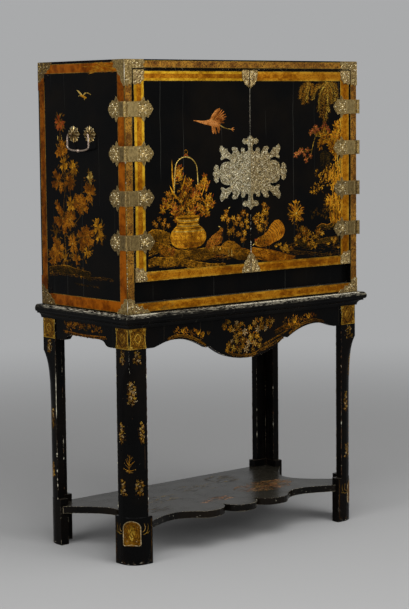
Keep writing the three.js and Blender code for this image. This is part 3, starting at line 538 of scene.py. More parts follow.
def smoothed(points, steps=4, closed=False):   # a curve through all its points
    count = len(points)
    line = []
    for i in range(count if closed else count - 1):
        if closed:
            p = [points[(i + k - 1) % count] for k in range(4)]
        else:
            p = [points[min(max(i + k - 1, 0), count - 1)] for k in range(4)]
        for step in range(steps):
            t = step / steps
            line.append(tuple(0.5 * (2 * p[1][j] + (p[2][j] - p[0][j]) * t
                    + (2 * p[0][j] - 5 * p[1][j] + 4 * p[2][j] - p[3][j]) * t * t
                    + (3 * p[1][j] - p[0][j] - 3 * p[2][j] + p[3][j]) * t ** 3) for j in (0, 1)))
    return line if closed else line + [points[-1]]


def away(point, angle, far):
    return point[0] + cos(angle) * far, point[1] + sin(angle) * far


def heading(start, end):
    return atan2(end[1] - start[1], end[0] - start[0])


def partWay(start, end, t):
    return start[0] + (end[0] - start[0]) * t, start[1] + (end[1] - start[1]) * t


def meshPiece(name, body, points, facets, marks, used, smooth):   # marks: each facet's place in used
    mesh = bpy.data.meshes.new(name)
    mesh.from_pydata(points, [], facets)
    for finish in used:
        mesh.materials.append(finishes[finish])
    mesh.polygons.foreach_set("material_index", marks)
    if smooth:
        form = bmesh.new()
        form.from_mesh(mesh)
        bmesh.ops.recalc_face_normals(form, faces=form.faces)
        form.to_mesh(mesh)
        form.free()
        mesh.shade_smooth()
        mesh.set_sharp_from_angle(angle=radians(35))
    piece = newObject(name, mesh)
    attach(piece, body)


class GoldSheet:   # all the gold that lies on one face and moves with one body
    def __init__(self, name, body, face, sunk=0.1):
        self.name, self.body, self.face, self.sunk = name, body, face, sunk
        self.points, self.facets, self.marks, self.finishes = [], [], [], []

    def facet(self, ids, finish):
        if finish not in self.finishes:
            self.finishes.append(finish)
        self.facets.append(ids)
        self.marks.append(self.finishes.index(finish))

    def stroke(self, line, width, finish, shape="stem", rise=0.4, base=None):
        foot = -self.sunk if base is None else base
        shares = widthShares[shape] if isinstance(shape, str) else shape
        last, first = len(line) - 1, len(self.points)
        for i, (u, v) in enumerate(line):
            (ua, va), (ub, vb) = line[max(i - 1, 0)], line[min(i + 1, last)]
            far = hypot(ub - ua, vb - va) or 1
            share = max(shareAt(shares, i / last), 0.06)
            un, vn = -(vb - va) / far * width * share / 2, (ub - ua) / far * width * share / 2
            crest = foot + (rise - foot) * min(1, share + 0.3)
            self.points += [self.face(u + un, v + vn, foot), self.face(u, v, crest),
                self.face(u - un, v - vn, foot)]
        for i in range(last):
            a, b = first + 3 * i, first + 3 * i + 3
            for ids in ((a, b, b + 1, a + 1), (a + 1, b + 1, b + 2, a + 2), (a + 2, b + 2, b, a)):
                self.facet(ids, finish)
        end = first + 3 * last
        self.facet((first, first + 1, first + 2), finish)
        self.facet((end, end + 2, end + 1), finish)

    def arc(self, start, end, bend, steps, *rest):
        self.stroke(bowed(start, end, bend, steps), *rest)

    def curve(self, points, steps, *rest):
        self.stroke(smoothed(points, steps), *rest)

    def fill(self, outline, finish, rise=0.4, slope=0.12):
        count, first = len(outline), len(self.points)
        um, vm = sum(p[0] for p in outline) / count, sum(p[1] for p in outline) / count
        for u, v in outline:
            self.points.append(self.face(u, v, -self.sunk))
        for u, v in outline:
            self.points.append(self.face(u + (um - u) * slope, v + (vm - v) * slope, rise))
        self.points += [self.face(um, vm, rise * 1.15), self.face(um, vm, -self.sunk)]
        for i in range(count):
            a, b = first + i, first + (i + 1) % count
            self.facet((a, b, b + count, a + count), finish)
            self.facet((a + count, b + count, first + 2 * count), finish)
            self.facet((b, a, first + 2 * count + 1), finish)

    def spread(self, rows, finish, rise, steps):   # rows: level, left and right end; follows a rounded face
        first, wide = len(self.points), steps + 1
        for lift in (rise, -self.sunk):
            for v, ua, ub in rows:
                self.points += [self.face(ua + (ub - ua) * i / steps, v, lift) for i in range(wide)]
        under = wide * len(rows)
        rim = list(range(wide)) + [r * wide + steps for r in range(1, len(rows))]
        rim += [under - 1 - i for i in range(1, wide)] + [r * wide for r in range(len(rows) - 2, 0, -1)]
        for r in range(len(rows) - 1):
            for i in range(steps):
                a = first + r * wide + i
                self.facet((a, a + 1, a + wide + 1, a + wide), finish)
                self.facet((a + under, a + under + wide, a + under + wide + 1, a + under + 1), finish)
        for i, a in enumerate(rim):
            b = rim[(i + 1) % len(rim)]
            self.facet((first + a, first + b, first + b + under, first + a + under), finish)

    def panel(self, low, high, finish, rise):
        (u0, v0), (u1, v1) = low, high
        self.fill([(u0, v0), (u1, v0), (u1, v1), (u0, v1)], finish, rise, slope=0.004)

    def dot(self, centre, radius, finish, rise, sides=7):
        self.fill([away(centre, 2 * pi * i / sides, radius) for i in range(sides)], finish, rise, slope=0.45)

    def lay(self):
        points = [[c * mm for c in p] for p in self.points]
        meshPiece(self.name, self.body, points, self.facets, self.marks, self.finishes, True)


# small worn flecks along edges: start, end, count, length, half width, finish
def laidChips(name, body, runs):
    points, facets, marks, used = [], [], [], []
    for start, end, count, length, half, finish in runs:
        if finish not in used:
            used.append(finish)
        start, run = Vector(start), Vector(end) - Vector(start)
        along = run.normalized()
        across = along.orthogonal().normalized()
        other = along.cross(across)
        for i in range(count):
            spot = start + run * ((i + chance.random()) / count)
            far, wide = between(*length) / 2, half * between(0.6, 1.1)
            a = len(points)
            points += [spot - along * far, spot + along * far, spot + across * wide, spot + other * wide,
                spot - across * wide, spot - other * wide]
            for k in range(4):
                b, c = a + 2 + k, a + 2 + (k + 1) % 4
                facets += [(a, c, b), (a + 1, b, c)]
                marks += [used.index(finish)] * 2
    meshPiece(name, body, [p * mm for p in points], facets, marks, used, False)


def upright(x, y, low, high, *rest):   # a run of chips that stands straight up
    return ((x, y, low), (x, y, high), *rest)


def flakes(sheet, line, spread, count, length, width, finishNames, rise=0.16):   # flat chips along a line
    run = smoothed(line, 3)
    for _ in range(count):
        k = chance.randrange(len(run) - 1)
        root, lean = partWay(run[k], run[k + 1], chance.random()), heading(run[k], run[k + 1])
        spot = away(root, lean + pi / 2, between(-spread, spread))
        far = between(*length)
        sheet.arc(spot, away(spot, lean + between(-0.2, 0.2), far), 0.08, 3, between(*width),
            chance.choice(finishNames), "leaf", rise)


def bloom(sheet, centre, radius, finish, heart, petals):
    turn = between(0, 6.28)
    for reach, start, count, rise in ((1, 0.25, petals, 0.35), (0.6, 0.1, petals - 2, 0.6)):
        for i in range(count):
            angle = turn + 2 * pi * i / count + between(-0.15, 0.15)
            far = radius * reach * between(0.8, 1.12)
            root = away(centre, angle, radius * start)
            sheet.arc(root, away(centre, angle, far), between(-0.15, 0.15), 4, 4.6 * far / count,
                "bronzeGold", "petal", rise)
            sheet.arc(root, away(centre, angle, far * 0.93), 0, 4, 2.7 * far / count, finish, "petal",
                rise + 0.16)
        turn += pi / count
    sheet.dot(centre, radius * 0.18, heart, 0.95)


def blooms(sheet, spots, tones, heart="paleGold", petals=6):
    for i, (u, v, r) in enumerate(spots):
        bloom(sheet, (u, v), r, tones[i % len(tones)], heart, petals)


def leafSpray(sheet, start, end, bend, leaf, count, finish):
    stem = bowed(start, end, bend, 7)
    sheet.stroke(stem, 1.7, finish, "stem", 0.3)
    for i in range(count):
        spot = (i + 1) / (count + 0.4) * 6
        k = min(int(spot), 5)
        root = partWay(stem[k], stem[k + 1], spot - k)
        hand = 1 if i % 2 else -1
        angle = heading(stem[k], stem[k + 1]) + hand * between(0.6, 1.05)
        sheet.arc(root, away(root, angle, leaf * between(0.8, 1.15)), -0.15 * hand, 4, leaf * 0.42, finish,
            "leaf", 0.4)


def tuft(sheet, foot, height, blades, finish, spread=0.9):
    for i in range(blades):
        angle = pi / 2 + (i / max(blades - 1, 1) - 0.5) * 2 * spread + between(-0.12, 0.12)
        far = height * between(0.65, 1)
        sheet.arc(foot, away(foot, angle, far), 0.16 if angle > pi / 2 else -0.16, 4, max(1.6, height * 0.11),
            finish, "blade", 0.35)


def leafMass(sheet, spots, size, finishNames, share=1, upward=0.5):   # leaves all round a few spots
    for u, v, far in spots:
        for _ in range(int(far * share)):
            angle = between(0, 6.28)
            root = away((u, v), angle, far * sqrt(chance.random()))
            lean = angle * (1 - upward) + pi / 2 * upward + between(-0.8, 0.8)
            sheet.arc(root, away(root, lean, size * between(0.7, 1.2)), between(-0.2, 0.2), 4, size * 0.42,
                chance.choice(finishNames), "leaf", between(0.25, 0.5))


def willow(sheet, line, leaf, finish):
    strand = smoothed(line, 6)
    sheet.stroke(strand, 1.3, finish, "stem", 0.3)
    for start, end in zip(strand, strand[1:]):
        root = (start[0] + end[0]) / 2, (start[1] + end[1]) / 2
        for hand in (-1, 1):
            if chance.random() < 0.25:
                continue
            down = heading(start, end) + hand * between(0.5, 1.05)
            sheet.arc(root, away(root, down, leaf * between(0.5, 1.1)), -0.1 * hand, 4, leaf * 0.24, finish,
                "leaf", 0.35)


def ground(sheet, points, depth, finish, wash, share):   # a lit edge with streaks of powder below
    line = smoothed(points, 5)
    if wash:
        below = [(u, v - depth * (0.9 - 0.25 * sin(u / 23))) for u, v in line]
        for i in range(len(line) - 1):
            sheet.fill([line[i], line[i + 1], below[i + 1], below[i]], wash, 0.14, slope=0)
    sheet.stroke(line, 2.2, finish, (0.3, 0.9, 1, 0.8, 0.3), 0.35)
    for _ in range(int(abs(points[-1][0] - points[0][0]) * share)):
        i = chance.randrange(len(line) - 1)
        root = line[i][0], line[i][1] - depth * chance.random() ** 1.4
        lean = heading(line[i], line[i + 1]) + between(-0.2, 0.2)
        sheet.arc(root, away(root, lean, between(7, 18)), 0.05, 3, between(1, 2),
            chance.choice((finish, "bronzeGold")), "leaf", 0.3)


def plumage(sheet, line, widths, finish, over, feather=9):   # a bird's body, with rows of small feathers
    spine = smoothed(line, 4)
    sheet.stroke(spine, 1, "bronzeGold", widths, 0.6)
    for i in range(1, len(spine) - 1):
        along, half = heading(spine[i], spine[i + 1]), shareAt(widths, i / (len(spine) - 1)) / 2
        rows = max(int(half / 4), 1)
        for k in range(-rows, rows + 1):
            root = away(spine[i], along + pi / 2, half * 0.85 * k / rows + between(-1, 1))
            lift, lean = 0.5 + 0.5 * (1 - abs(k) / (rows + 1)), along - 0.25 * k / rows
            sheet.arc(root, away(root, lean, feather), 0.1, 3, feather * 0.5, "bronzeGold", "petal", lift)
            sheet.arc(root, away(root, lean, feather * 0.85), 0.1, 3, feather * 0.27,
                over if (i + k) % 3 == 0 else finish, "petal", lift + 0.2)


def flatFace(axis, level, out):   # takes a place across and up a face and a height off it, all in mm
    def spot(u, v, h):
        place = [u, v]
        place.insert(axis, level + out * h)
        return place

    return spot


frontFace = flatFace(1, caseFront, -1)
leftFace, rightFace = flatFace(0, -caseSide, -1), flatFace(0, caseSide, 1)

# gilt bands that frame the doors and the case's sides
bands = {
    "door": {"top": 6.5, "bottom": 1.5, "side": 6, "width": 36, "level": 28, "low": 27},
    "rail": {"inset": 5, "top": 19, "bottom": 25.5, "stile": 24, "edge": 1},   # on the case's front
    "case": {"rear": 26, "front": 32, "top": 27, "bottom": 33, "inset": 4, "behind": 7, "under": 9},
    "line": 2.6, "thick": 0.2, "heart": 0.5,
}


# widths: left, bottom, right, top
def framed(sheet, low, high, widths, finish, edges="lineGold", heart=None):
    (u0, v0), (u1, v1) = low, high
    left, bottom, right, top = widths
    tints = finish if isinstance(finish, tuple) else (finish,) * 4
    for wide, start, end, level, tint in ((bottom, (u0, v0), (u1, v0 + bottom), 1, tints[1]),
            (top, (u0, v1 - top), (u1, v1), 1, tints[3]),
            (left, (u0, v0 + bottom), (u0 + left, v1 - top), 0, tints[0]),
            (right, (u1 - right, v0 + bottom), (u1, v1 - top), 0, tints[2])):
        if not wide:
            continue
        sheet.panel(start, end, tint, bands["thick"])
        if heart:   # the redder middle of the band
            spare = (end[level] - start[level]) * (1 - bands["heart"]) / 2
            inner = [list(start), list(end)]
            inner[0][level] += spare
            inner[1][level] -= spare
            sheet.panel(*inner, heart, bands["thick"] + 0.06)
    for near in (0, 1):
        a, b = (u0 + left * near, v0 + bottom * near), (u1 - right * near, v1 - top * near)
        for start, end, there in ((a, (b[0], a[1]), bottom), ((a[0], b[1]), b, top), (a, (a[0], b[1]), left),
                ((b[0], a[1]), b, right)):
            if there:
                sheet.stroke([start, end], bands["line"], edges, "band", bands["thick"] + 0.15)


def layBands():
    spec = bands["door"]
    leftDoor = GoldSheet("gilt_band_left_door", "left_door", frontFace)
    rightDoor = GoldSheet("gilt_band_right_door", "right_door", frontFace)
    low, high = doorLow[2] + spec["bottom"], doorHigh[2] - spec["top"]
    outer = doorHigh[0] - spec["side"]
    framed(leftDoor, (-outer, low), (meetingLeft - 0.5, high), (spec["width"], spec["low"], 0, spec["level"]),
        ("borderGold", "borderAmber", "borderGold", "borderGold"), heart="borderHeart")
    framed(rightDoor, (meetingRight + 0.5, low), (outer, high), (0, spec["low"], spec["width"],
            spec["level"]), "borderAmber", heart="borderHeart")
    case, rail = GoldSheet("gilt_band_case_front", "cabinet", frontFace), bands["rail"]
    out, inset = caseSide - rail["edge"], rail["inset"]
    framed(case, (-out, caseTop - (inset + rail["top"])), (out, caseTop - inset), (0, rail["top"], 0, 0),
        "borderFaded", "edgeGold")
    framed(case, (-out, caseBase + inset), (out, caseBase + (inset + rail["bottom"])),
        (0, rail["bottom"], 0, 0), "borderAmber", "edgeGold", "borderHeart")
    # dulled by hands
    for sheet, level, start, end in ((case, caseBase + 18, -440, -330), (leftDoor, low + 14, -445, -350)):
        flakes(sheet, [(start, level), (end, level)], 8, 34, (16, 44), (4, 8),
            ("borderHeart", "edgeGold", "borderHeart"), 0.46)
    for hand in (-1, 1):
        ends = sorted((hand * out, hand * (caseSide - (rail["edge"] + rail["stile"]))))
        framed(case, (ends[0], floorTop), (ends[1], ceiling), (rail["stile"], 0, 0, 0), "borderFaded",
            "edgeGold")
    spec = bands["case"]
    inset = spec["inset"]
    pieces = [leftDoor, rightDoor, case]
    for name, face in (("left", leftFace), ("right", rightFace)):
        side = GoldSheet("gilt_band_case_" + name, "cabinet", face)
        framed(side, (caseFront + inset, caseBase + inset), (caseBack - spec["behind"],
                caseTop - spec["under"]), (spec["front"], spec["bottom"], spec["rear"], spec["top"]),
            ("borderRed", "borderRed", "borderDeep", "borderRed"), "edgeGold")
        for level, reach in ((-7, 120), (-14, 190), (-21, 150)):   # goes golden towards the front
            level += caseTop - spec["under"]
            flakes(side, [(caseFront + 12, level), (caseFront + reach, level)], 3, 26, (22, 60), (6, 10),
                ("borderAmber", "borderHeart"), 0.42)
        pieces.append(side)
    for piece in pieces:
        piece.lay()


layBands()
print("gilt bands laid")

# the left door: a crane over a basket of flowers, with quails on a bank
basket = {
    "outline": [(-292, 1070), (-290, 1054), (-291, 1040), (-301, 1033), (-311, 1023), (-317, 1009),
        (-316, 995), (-308, 982), (-293, 973), (-270, 968), (-245, 967), (-219, 968), (-196, 973),
        (-182, 982), (-174, 995), (-173, 1009), (-180, 1023), (-191, 1033), (-203, 1040), (-206, 1054),
        (-202, 1070)],
    "handle": [(-300, 1136), (-298, 1163), (-295, 1205), (-291, 1228), (-277, 1244), (-252, 1251),
        (-226, 1243), (-210, 1224), (-206, 1200), (-204, 1163)],
    "blooms": [(-277, 1208, 13), (-273, 1190, 12), (-285, 1198, 9), (-250, 1154, 12), (-241, 1171, 11),
        (-259, 1132, 11), (-274, 1117, 10), (-301, 1102, 11), (-317, 1132, 11), (-326, 1105, 11),
        (-344, 1091, 12), (-338, 1117, 9), (-301, 1083, 10), (-272, 1091, 12), (-242, 1107, 12),
        (-218, 1141, 11), (-196, 1154, 12), (-181, 1168, 11), (-174, 1184, 8), (-167, 1160, 8),
        (-206, 1127, 12), (-224, 1115, 10), (-242, 1080, 11), (-219, 1084, 10), (-201, 1092, 9),
        (-166, 1099, 17), (-157, 1120, 11), (-148, 1100, 10), (-184, 1077, 10), (-165, 1074, 9),
        (-266, 1066, 11), (-233, 1061, 11), (-290, 1062, 9), (-208, 1060, 9)],
    "blades": [((-298, 1140), (-307, 1243), 0.05, 7), ((-284, 1120), (-316, 1164), 0.1, 8),
        ((-272, 1150), (-254, 1196), -0.12, 8), ((-190, 1130), (-172, 1190), -0.1, 4)],
}


def paintCrane(sheet):
    sheet.curve([(-220, 1362), (-204, 1360), (-188, 1357), (-170, 1355), (-150, 1355), (-128, 1351),
            (-112, 1346)], 3, 25, "roseGold", (0.06, 0.22, 0.34, 0.55, 0.9, 1, 0.55), 1)
    sheet.curve([(-150, 1358), (-138, 1372), (-125, 1387), (-112, 1397)], 3, 20, "roseGold",
        (0.6, 1, 0.85, 0.3), 0.9)
    for tip, wide in (((-103, 1394), 6), ((-95, 1389), 6), ((-89, 1381), 6), ((-86, 1373), 6),
            ((-90, 1365), 5), ((-98, 1359), 5), ((-95, 1353), 5)):
        sheet.arc((-136, 1363), tip, -0.06, 5, wide, "roseGold", "plume", 0.8)
        sheet.arc((-128, 1366), tip, -0.06, 4, 1.4, "copperRed", "stem", 1)
    for tip, root, wide in (((-139, 1320), (-148, 1350), 12), ((-129, 1319), (-142, 1350), 8),
            ((-117, 1322), (-128, 1347), 8), ((-113, 1330), (-124, 1347), 7)):
        sheet.arc(root, tip, 0.12, 5, wide, "roseGold", "plume", 0.8)
    sheet.arc((-114, 1347), (-84, 1335), -0.08, 5, 3.2, "paleGold", "stem", 0.6)
    sheet.arc((-86, 1335), (-64, 1332), 0.05, 4, 2.4, "paleGold", "stem", 0.6)
    for tip in ((-54, 1338), (-52, 1331), (-57, 1326)):
        sheet.arc((-66, 1333), tip, 0.1, 3, 4, "roseGold", "petal", 0.6)
    for i in range(7):   # feather edges on the wing and the back
        sheet.arc((-150 + i * 5, 1372 + i * 3), (-136 + i * 5, 1366 + i * 3), 0.25, 3, 2.4, "copperRed",
            "leaf", 1.1)
        sheet.arc((-150 + i * 6, 1364 + i * 2), (-140 + i * 6, 1357 + i * 2), 0.25, 3, 2.2, "paleGold",
            "leaf", 1.1)
    for i in range(6):
        sheet.arc((-182 + i * 10, 1359), (-176 + i * 11, 1352), 0.3, 3, 2.2, "copperRed", "leaf", 1.15)


def paintBasket(sheet):
    sheet.fill(smoothed(basket["outline"], 3, closed=True), "leafGold", 0.9, slope=0.1)
    for i, level in enumerate((1064, 1056, 1048, 1040, 1032, 1024)):
        half = (44, 42, 41, 42, 52, 62)[i]
        sheet.arc((-245 - half, level), (-245 + half, level), -0.06, 9, 3.4,
            "paleGold" if i % 2 else "bronzeGold", "band", 1.6, 0.9)
    for row in range(5):   # open plait of the belly
        level = 1016 - row * 9.5
        half = (64, 69, 68, 60, 42)[row]
        for i in range(-7, 8):
            spot = -245 + half * i / 7.6
            sheet.arc((spot - 5, level), (spot + 5, level - 7.5), 0.2, 3, 2, "orangeGold", "stem", 1.6, 0.95)
            sheet.arc((spot + 5, level), (spot - 5, level - 7.5), -0.2, 3, 2, "bushGold", "stem", 1.55, 0.95)
    for foot in (-272, -245, -218):
        sheet.fill([(foot - 9, 971), (foot + 9, 971), (foot + 5, 961), (foot - 5, 961)], "bronzeGold", 0.6)
    sheet.curve(basket["handle"], 4, 4.2, "paleGold", (1, 0.9, 0.8, 0.8, 0.9, 1), 0.7)
    ring = [away((-251, 1266), 2 * pi * i / 12, 6.5) for i in range(13)]
    sheet.stroke(ring, 2.6, "bronzeGold", "band", 0.6)
    for hand in (-1, 1):
        sheet.arc((-251, 1257), (-251 + 9 * hand, 1253), 0.2 * hand, 4, 5, "copperRed", "leaf", 0.6)
    leafMass(sheet, [(-250, 1085, 40), (-285, 1090, 34), (-215, 1090, 34), (-262, 1120, 36), (-225, 1125, 32),
            (-300, 1110, 26), (-190, 1140, 22), (-276, 1185, 20), (-250, 1150, 26), (-180, 1095, 22)], 11,
        ("bronzeGold", "orangeGold", "bronzeGold", "sprinkledGold"), 1.5, 0.5)
    leafMass(sheet, basket["blooms"], 11, ("bronzeGold", "orangeGold", "leafGold", "copperRed"), 1.5, 0.55)
    for start, end, bend, wide in basket["blades"]:
        sheet.arc(start, end, bend, 7, wide, "leafGold", "leaf", 0.7)
    blooms(sheet, basket["blooms"], ("orangeGold", "leafGold", "leafGold", "copperRed"))
    leafSpray(sheet, (-180, 1160), (-170, 1194), 0.1, 8, 5, "orangeGold")
    leafSpray(sheet, (-318, 1130), (-334, 1146), 0.1, 8, 4, "bronzeGold")


def paintLeftDoor():
    sheet = GoldSheet("gilt_picture_left_door", "left_door", frontFace)
    for bank in (
            ([(-404, 1026), (-378, 1033), (-350, 1029), (-320, 1020)], 44, "leafGold", "bronzeGold", 2.4),
            ([(-402, 985), (-360, 992), (-300, 968), (-240, 962), (-180, 966), (-150, 966)],
                34, "leafGold", "bronzeGold", 2.2),
            ([(-404, 942), (-372, 948), (-330, 944), (-285, 940), (-227, 928), (-155, 915), (-101, 913)],
                24, "leafGold", "bronzeGold", 2.2),
            ([(-404, 926), (-350, 922), (-300, 916)], 6, "bronzeGold", None, 0.3),
            ([(-150, 968), (-112, 966), (-60, 962), (-30, 957), (8, 948)],
                34, "orangeGold", "bronzeGold", 2.2),
            ([(-140, 964), (-100, 963), (-50, 957), (0, 946)], 10, "leafGold", None, 1.6),
            ([(-150, 936), (-110, 930), (-60, 934), (-20, 926)], 8, "bronzeGold", None, 0.4)):
        ground(sheet, *bank)
    paintCrane(sheet)
    paintBasket(sheet)
    for u, v, r in ((-359, 1064, 9), (-379, 1053, 10), (-370, 1045, 8), (-342, 1049, 9), (-324, 1042, 9),
            (-337, 1061, 7)):
        bloom(sheet, (u, v), r, "orangeGold", "paleGold", 5)
        sheet.arc((-340, 1026), (u, v), 0.15, 5, 1.6, "bronzeGold", "stem", 0.3)
    for u, v, r in ((-354, 981, 11), (-340, 972, 11), (-352, 962, 11), (-334, 955, 11), (-310, 957, 11),
            (-322, 968, 9), (-304, 968, 8)):
        bloom(sheet, (u, v), r, "orangeGold" if u < -330 else "copperRed", "leafGold", 6)
    leafMass(sheet, [(-345, 966, 16), (-312, 960, 12)], 10, ("bronzeGold",), 1.2)
    for spot in ((-372, 958), (-282, 948), (-180, 934), (-215, 936), (-130, 948)):
        tuft(sheet, spot, 13, 5, "bronzeGold")
    paintQuails(sheet)
    blooms(sheet, ((-90, 1075, 11), (-103, 1056, 12), (-82, 1049, 11), (-92, 1062, 9), (-60, 1053, 10),
            (-19, 1068, 12), (-37, 1053, 13), (-4, 1042, 11), (-26, 1030, 11), (-48, 1038, 10),
            (-75, 1010, 13), (-62, 1018, 10), (-40, 1001, 11), (-14, 1004, 11), (-21, 983, 10), (-2, 1060, 7),
            (0, 1022, 8)), ("orangeGold", "leafGold", "orangeGold"))
    for start, end, bend in (((-78, 985), (-84, 1045), 0.08), ((-30, 975), (-30, 1050), -0.08),
            ((-60, 990), (-62, 1050), -0.1), ((-16, 970), (-6, 1040), -0.06)):
        leafSpray(sheet, start, end, bend, 9, 7, "bronzeGold")
    sheet.arc((-80, 1083), (-74, 1090), 0.1, 3, 3, "paleGold", "leaf", 0.4)
    sheet.lay()


def paintQuails(sheet):
    plumage(sheet, [(-108, 1026), (-113, 1015), (-122, 1003), (-138, 990), (-156, 978), (-170, 968)],
        (13, 15, 26, 38, 30, 8), "copperRed", "orangeGold")
    sheet.arc((-114, 1028), (-124, 1031), 0.1, 3, 4, "paleGold", "leaf", 0.6)
    plumage(sheet, [(-110, 1000), (-118, 988), (-132, 976)], (14, 24, 12), "copperRed", "orangeGold", 8)
    plumage(sheet, [(-112, 962), (-100, 968), (-84, 970), (-66, 966), (-48, 960), (-38, 960)],
        (8, 18, 30, 32, 18, 6), "orangeGold", "leafGold")
    sheet.arc((-114, 962), (-121, 956), 0.1, 3, 4, "paleGold", "leaf", 0.6)
    for foot in (-132, -146):
        sheet.arc((foot + 4, 968), (foot, 952), 0.1, 4, 2.4, "paleGold", "stem", 0.6)
    for foot in (-82, -70):
        sheet.arc((foot, 955), (foot + 2, 938), 0.1, 4, 2.4, "paleGold", "stem", 0.6)
        for lean in (-2.6, -1.6, -0.6):
            sheet.arc((foot + 2, 938), away((foot + 2, 938), lean, 6), 0, 3, 1.8, "paleGold", "stem", 0.5)


# the right door: a willow and a blossoming tree on rocks, with a cockerel in the garden below
willows = [
    [(277, 1478), (250, 1470), (237, 1455), (231, 1431)],
    [(277, 1478), (255, 1455), (246, 1436), (244, 1414)],
    [(277, 1478), (266, 1450), (260, 1417)], [(280, 1478), (284, 1460), (283, 1440)],
    [(270, 1480), (262, 1462), (252, 1448)], [(354, 1480), (322, 1468), (300, 1452), (286, 1424)],
    [(354, 1480), (326, 1456), (316, 1425), (312, 1388)], [(356, 1480), (336, 1448), (329, 1407)],
    [(356, 1480), (344, 1430), (336, 1390), (339, 1345)], [(358, 1480), (355, 1430), (356, 1386)],
    [(358, 1480), (366, 1450), (364, 1416)], [(360, 1480), (384, 1462), (390, 1421)],
    [(360, 1480), (392, 1468), (400, 1434)], [(350, 1470), (325, 1420), (322, 1369)],
    [(356, 1460), (350, 1405), (349, 1359)], [(360, 1472), (376, 1450), (374, 1412)],
    [(345, 1476), (310, 1470), (296, 1446)],
]
redBlossoms = [(276, 1316, 11), (299, 1335, 11), (309, 1325, 10), (339, 1342, 11), (352, 1329, 11),
    (295, 1318, 9), (329, 1332, 9), (287, 1324, 8), (210, 1246, 12), (233, 1258, 12), (262, 1259, 12),
    (249, 1245, 9), (275, 1240, 11), (257, 1228, 11), (222, 1250, 9), (360, 1320, 8)]


def paintWillow(sheet):
    for line in willows:
        willow(sheet, line, 18, "sprinkledGold")
        willow(sheet, line, 14, "bronzeGold")
        for _ in range(2):
            willow(sheet, [(u + between(-5, 5), v) for u, v in line], 11,
                chance.choice(("bronzeGold", "blockGold", "lineGold")))


def paintTree(sheet):
    for line, wide in (
            ([(392, 1290), (370, 1296), (346, 1292), (322, 1302), (302, 1304), (292, 1290), (283, 1262)],
                3.4),
            ([(322, 1302), (318, 1312), (306, 1328)], 2.4), ([(346, 1292), (344, 1312), (340, 1338)], 2.6),
            ([(302, 1304), (290, 1314), (278, 1316)], 2),
            ([(283, 1262), (262, 1256), (240, 1256), (212, 1247)], 2),
            ([(283, 1262), (276, 1244), (258, 1230)], 2), ([(344, 1310), (352, 1318), (356, 1330)], 2),
            ([(414, 1345), (398, 1318), (388, 1290), (386, 1262), (400, 1235)], 5),
            ([(404, 1200), (398, 1225), (400, 1250), (410, 1280)], 6)):
        sheet.curve(line, 4, wide, "lineGold", (1, 0.9, 0.8, 0.7, 0.5), 0.5)
    leafMass(sheet, [(339, 1311, 14), (355, 1298, 15), (330, 1294, 12), (369, 1283, 16), (382, 1302, 14),
            (396, 1312, 14), (410, 1340, 16), (389, 1283, 15), (375, 1264, 14), (392, 1254, 14),
            (404, 1239, 13), (322, 1275, 10), (406, 1300, 12), (408, 1318, 12)], 11,
        ("leafGold", "orangeGold", "leafGold"), 2.2, 0.2)
    blooms(sheet, redBlossoms, ("coralRed",), "leafGold", 5)
    blooms(sheet, ((316, 1316, 8), (334, 1316, 8), (306, 1312, 8)), ("leafGold",), "paleGold", 5)
    for _ in range(46):   # moss that hangs from the branch
        u = between(317, 366)
        top = 1258 - abs(u - 340) * 0.5
        sheet.arc((u, top), (u * 0.8 + 341 * 0.2, top - between(24, 56)), 0.03, 4, 3, "sprinkledGold",
            "blade", 0.3)


def paintCliff(sheet):
    for u0, v0, u1, v1, wide in ((384, 1122, 380, 1066, 13), (414, 1128, 408, 1060, 14),
            (397, 1100, 402, 1028, 12), (368, 1110, 366, 1062, 9), (355, 1104, 350, 1068, 8),
            (381, 1072, 388, 1012, 12), (416, 1066, 410, 1012, 10), (366, 1062, 372, 1016, 9),
            (404, 1196, 396, 1140, 12), (382, 1198, 384, 1142, 12), (364, 1196, 358, 1150, 11),
            (416, 1190, 412, 1138, 10), (346, 1186, 342, 1160, 8), (396, 1142, 392, 1104, 10),
            (376, 1150, 372, 1118, 9)):
        for k in range(4):
            drift = (k - 1.5) * wide * 0.3
            sheet.arc((u0 + drift, v0 - between(0, 9)), (u1 + drift, v1 + between(0, 9)),
                between(-0.12, 0.12), 6, wide * 0.42, ("leafGold", "orangeGold", "bronzeGold", "leafGold")[k],
                "petal", 0.35 + 0.12 * k)
    for leaves in (
            ([(404, 1330, 20), (398, 1280, 22), (404, 1230, 20), (396, 1180, 26), (400, 1130, 26),
                (384, 1090, 26), (404, 1060, 26), (390, 1030, 22), (366, 1180, 18), (362, 1080, 20),
                (410, 1010, 16)], 14, ("bronzeGold", "orangeGold", "bronzeGold", "leafGold"), 1.5, 0.1),
            ([(310, 1183, 9), (330, 1174, 12), (352, 1192, 13), (380, 1197, 14), (407, 1204, 14),
                (367, 1172, 12), (394, 1166, 12), (356, 1152, 12), (382, 1142, 12), (284, 1127, 8),
                (301, 1139, 10), (320, 1144, 10), (318, 1126, 9), (298, 1124, 7)], 10,
                ("bronzeGold", "leafGold", "bronzeGold"), 1.6, 0.1),
            ([(352, 1100, 12), (346, 1072, 12), (330, 1050, 12), (352, 1044, 12), (300, 1056, 8),
                (280, 1050, 10)], 9, ("sprinkledGold", "bronzeGold"), 1.5, 0)):
        leafMass(sheet, *leaves)
    ground(sheet, [(300, 1006), (326, 1016), (352, 1012), (380, 1020), (410, 1012)], 18, "orangeGold",
        "sprinkledGold", 0.6)


cockerel = {   # spine from head to tail, with the breadth along it
    "spine": [(30, 968), (48, 971), (71, 974), (96, 985), (116, 999), (133, 1010), (147, 1019)],
    "breadth": (10, 36, 44, 45, 62, 64, 42),
}


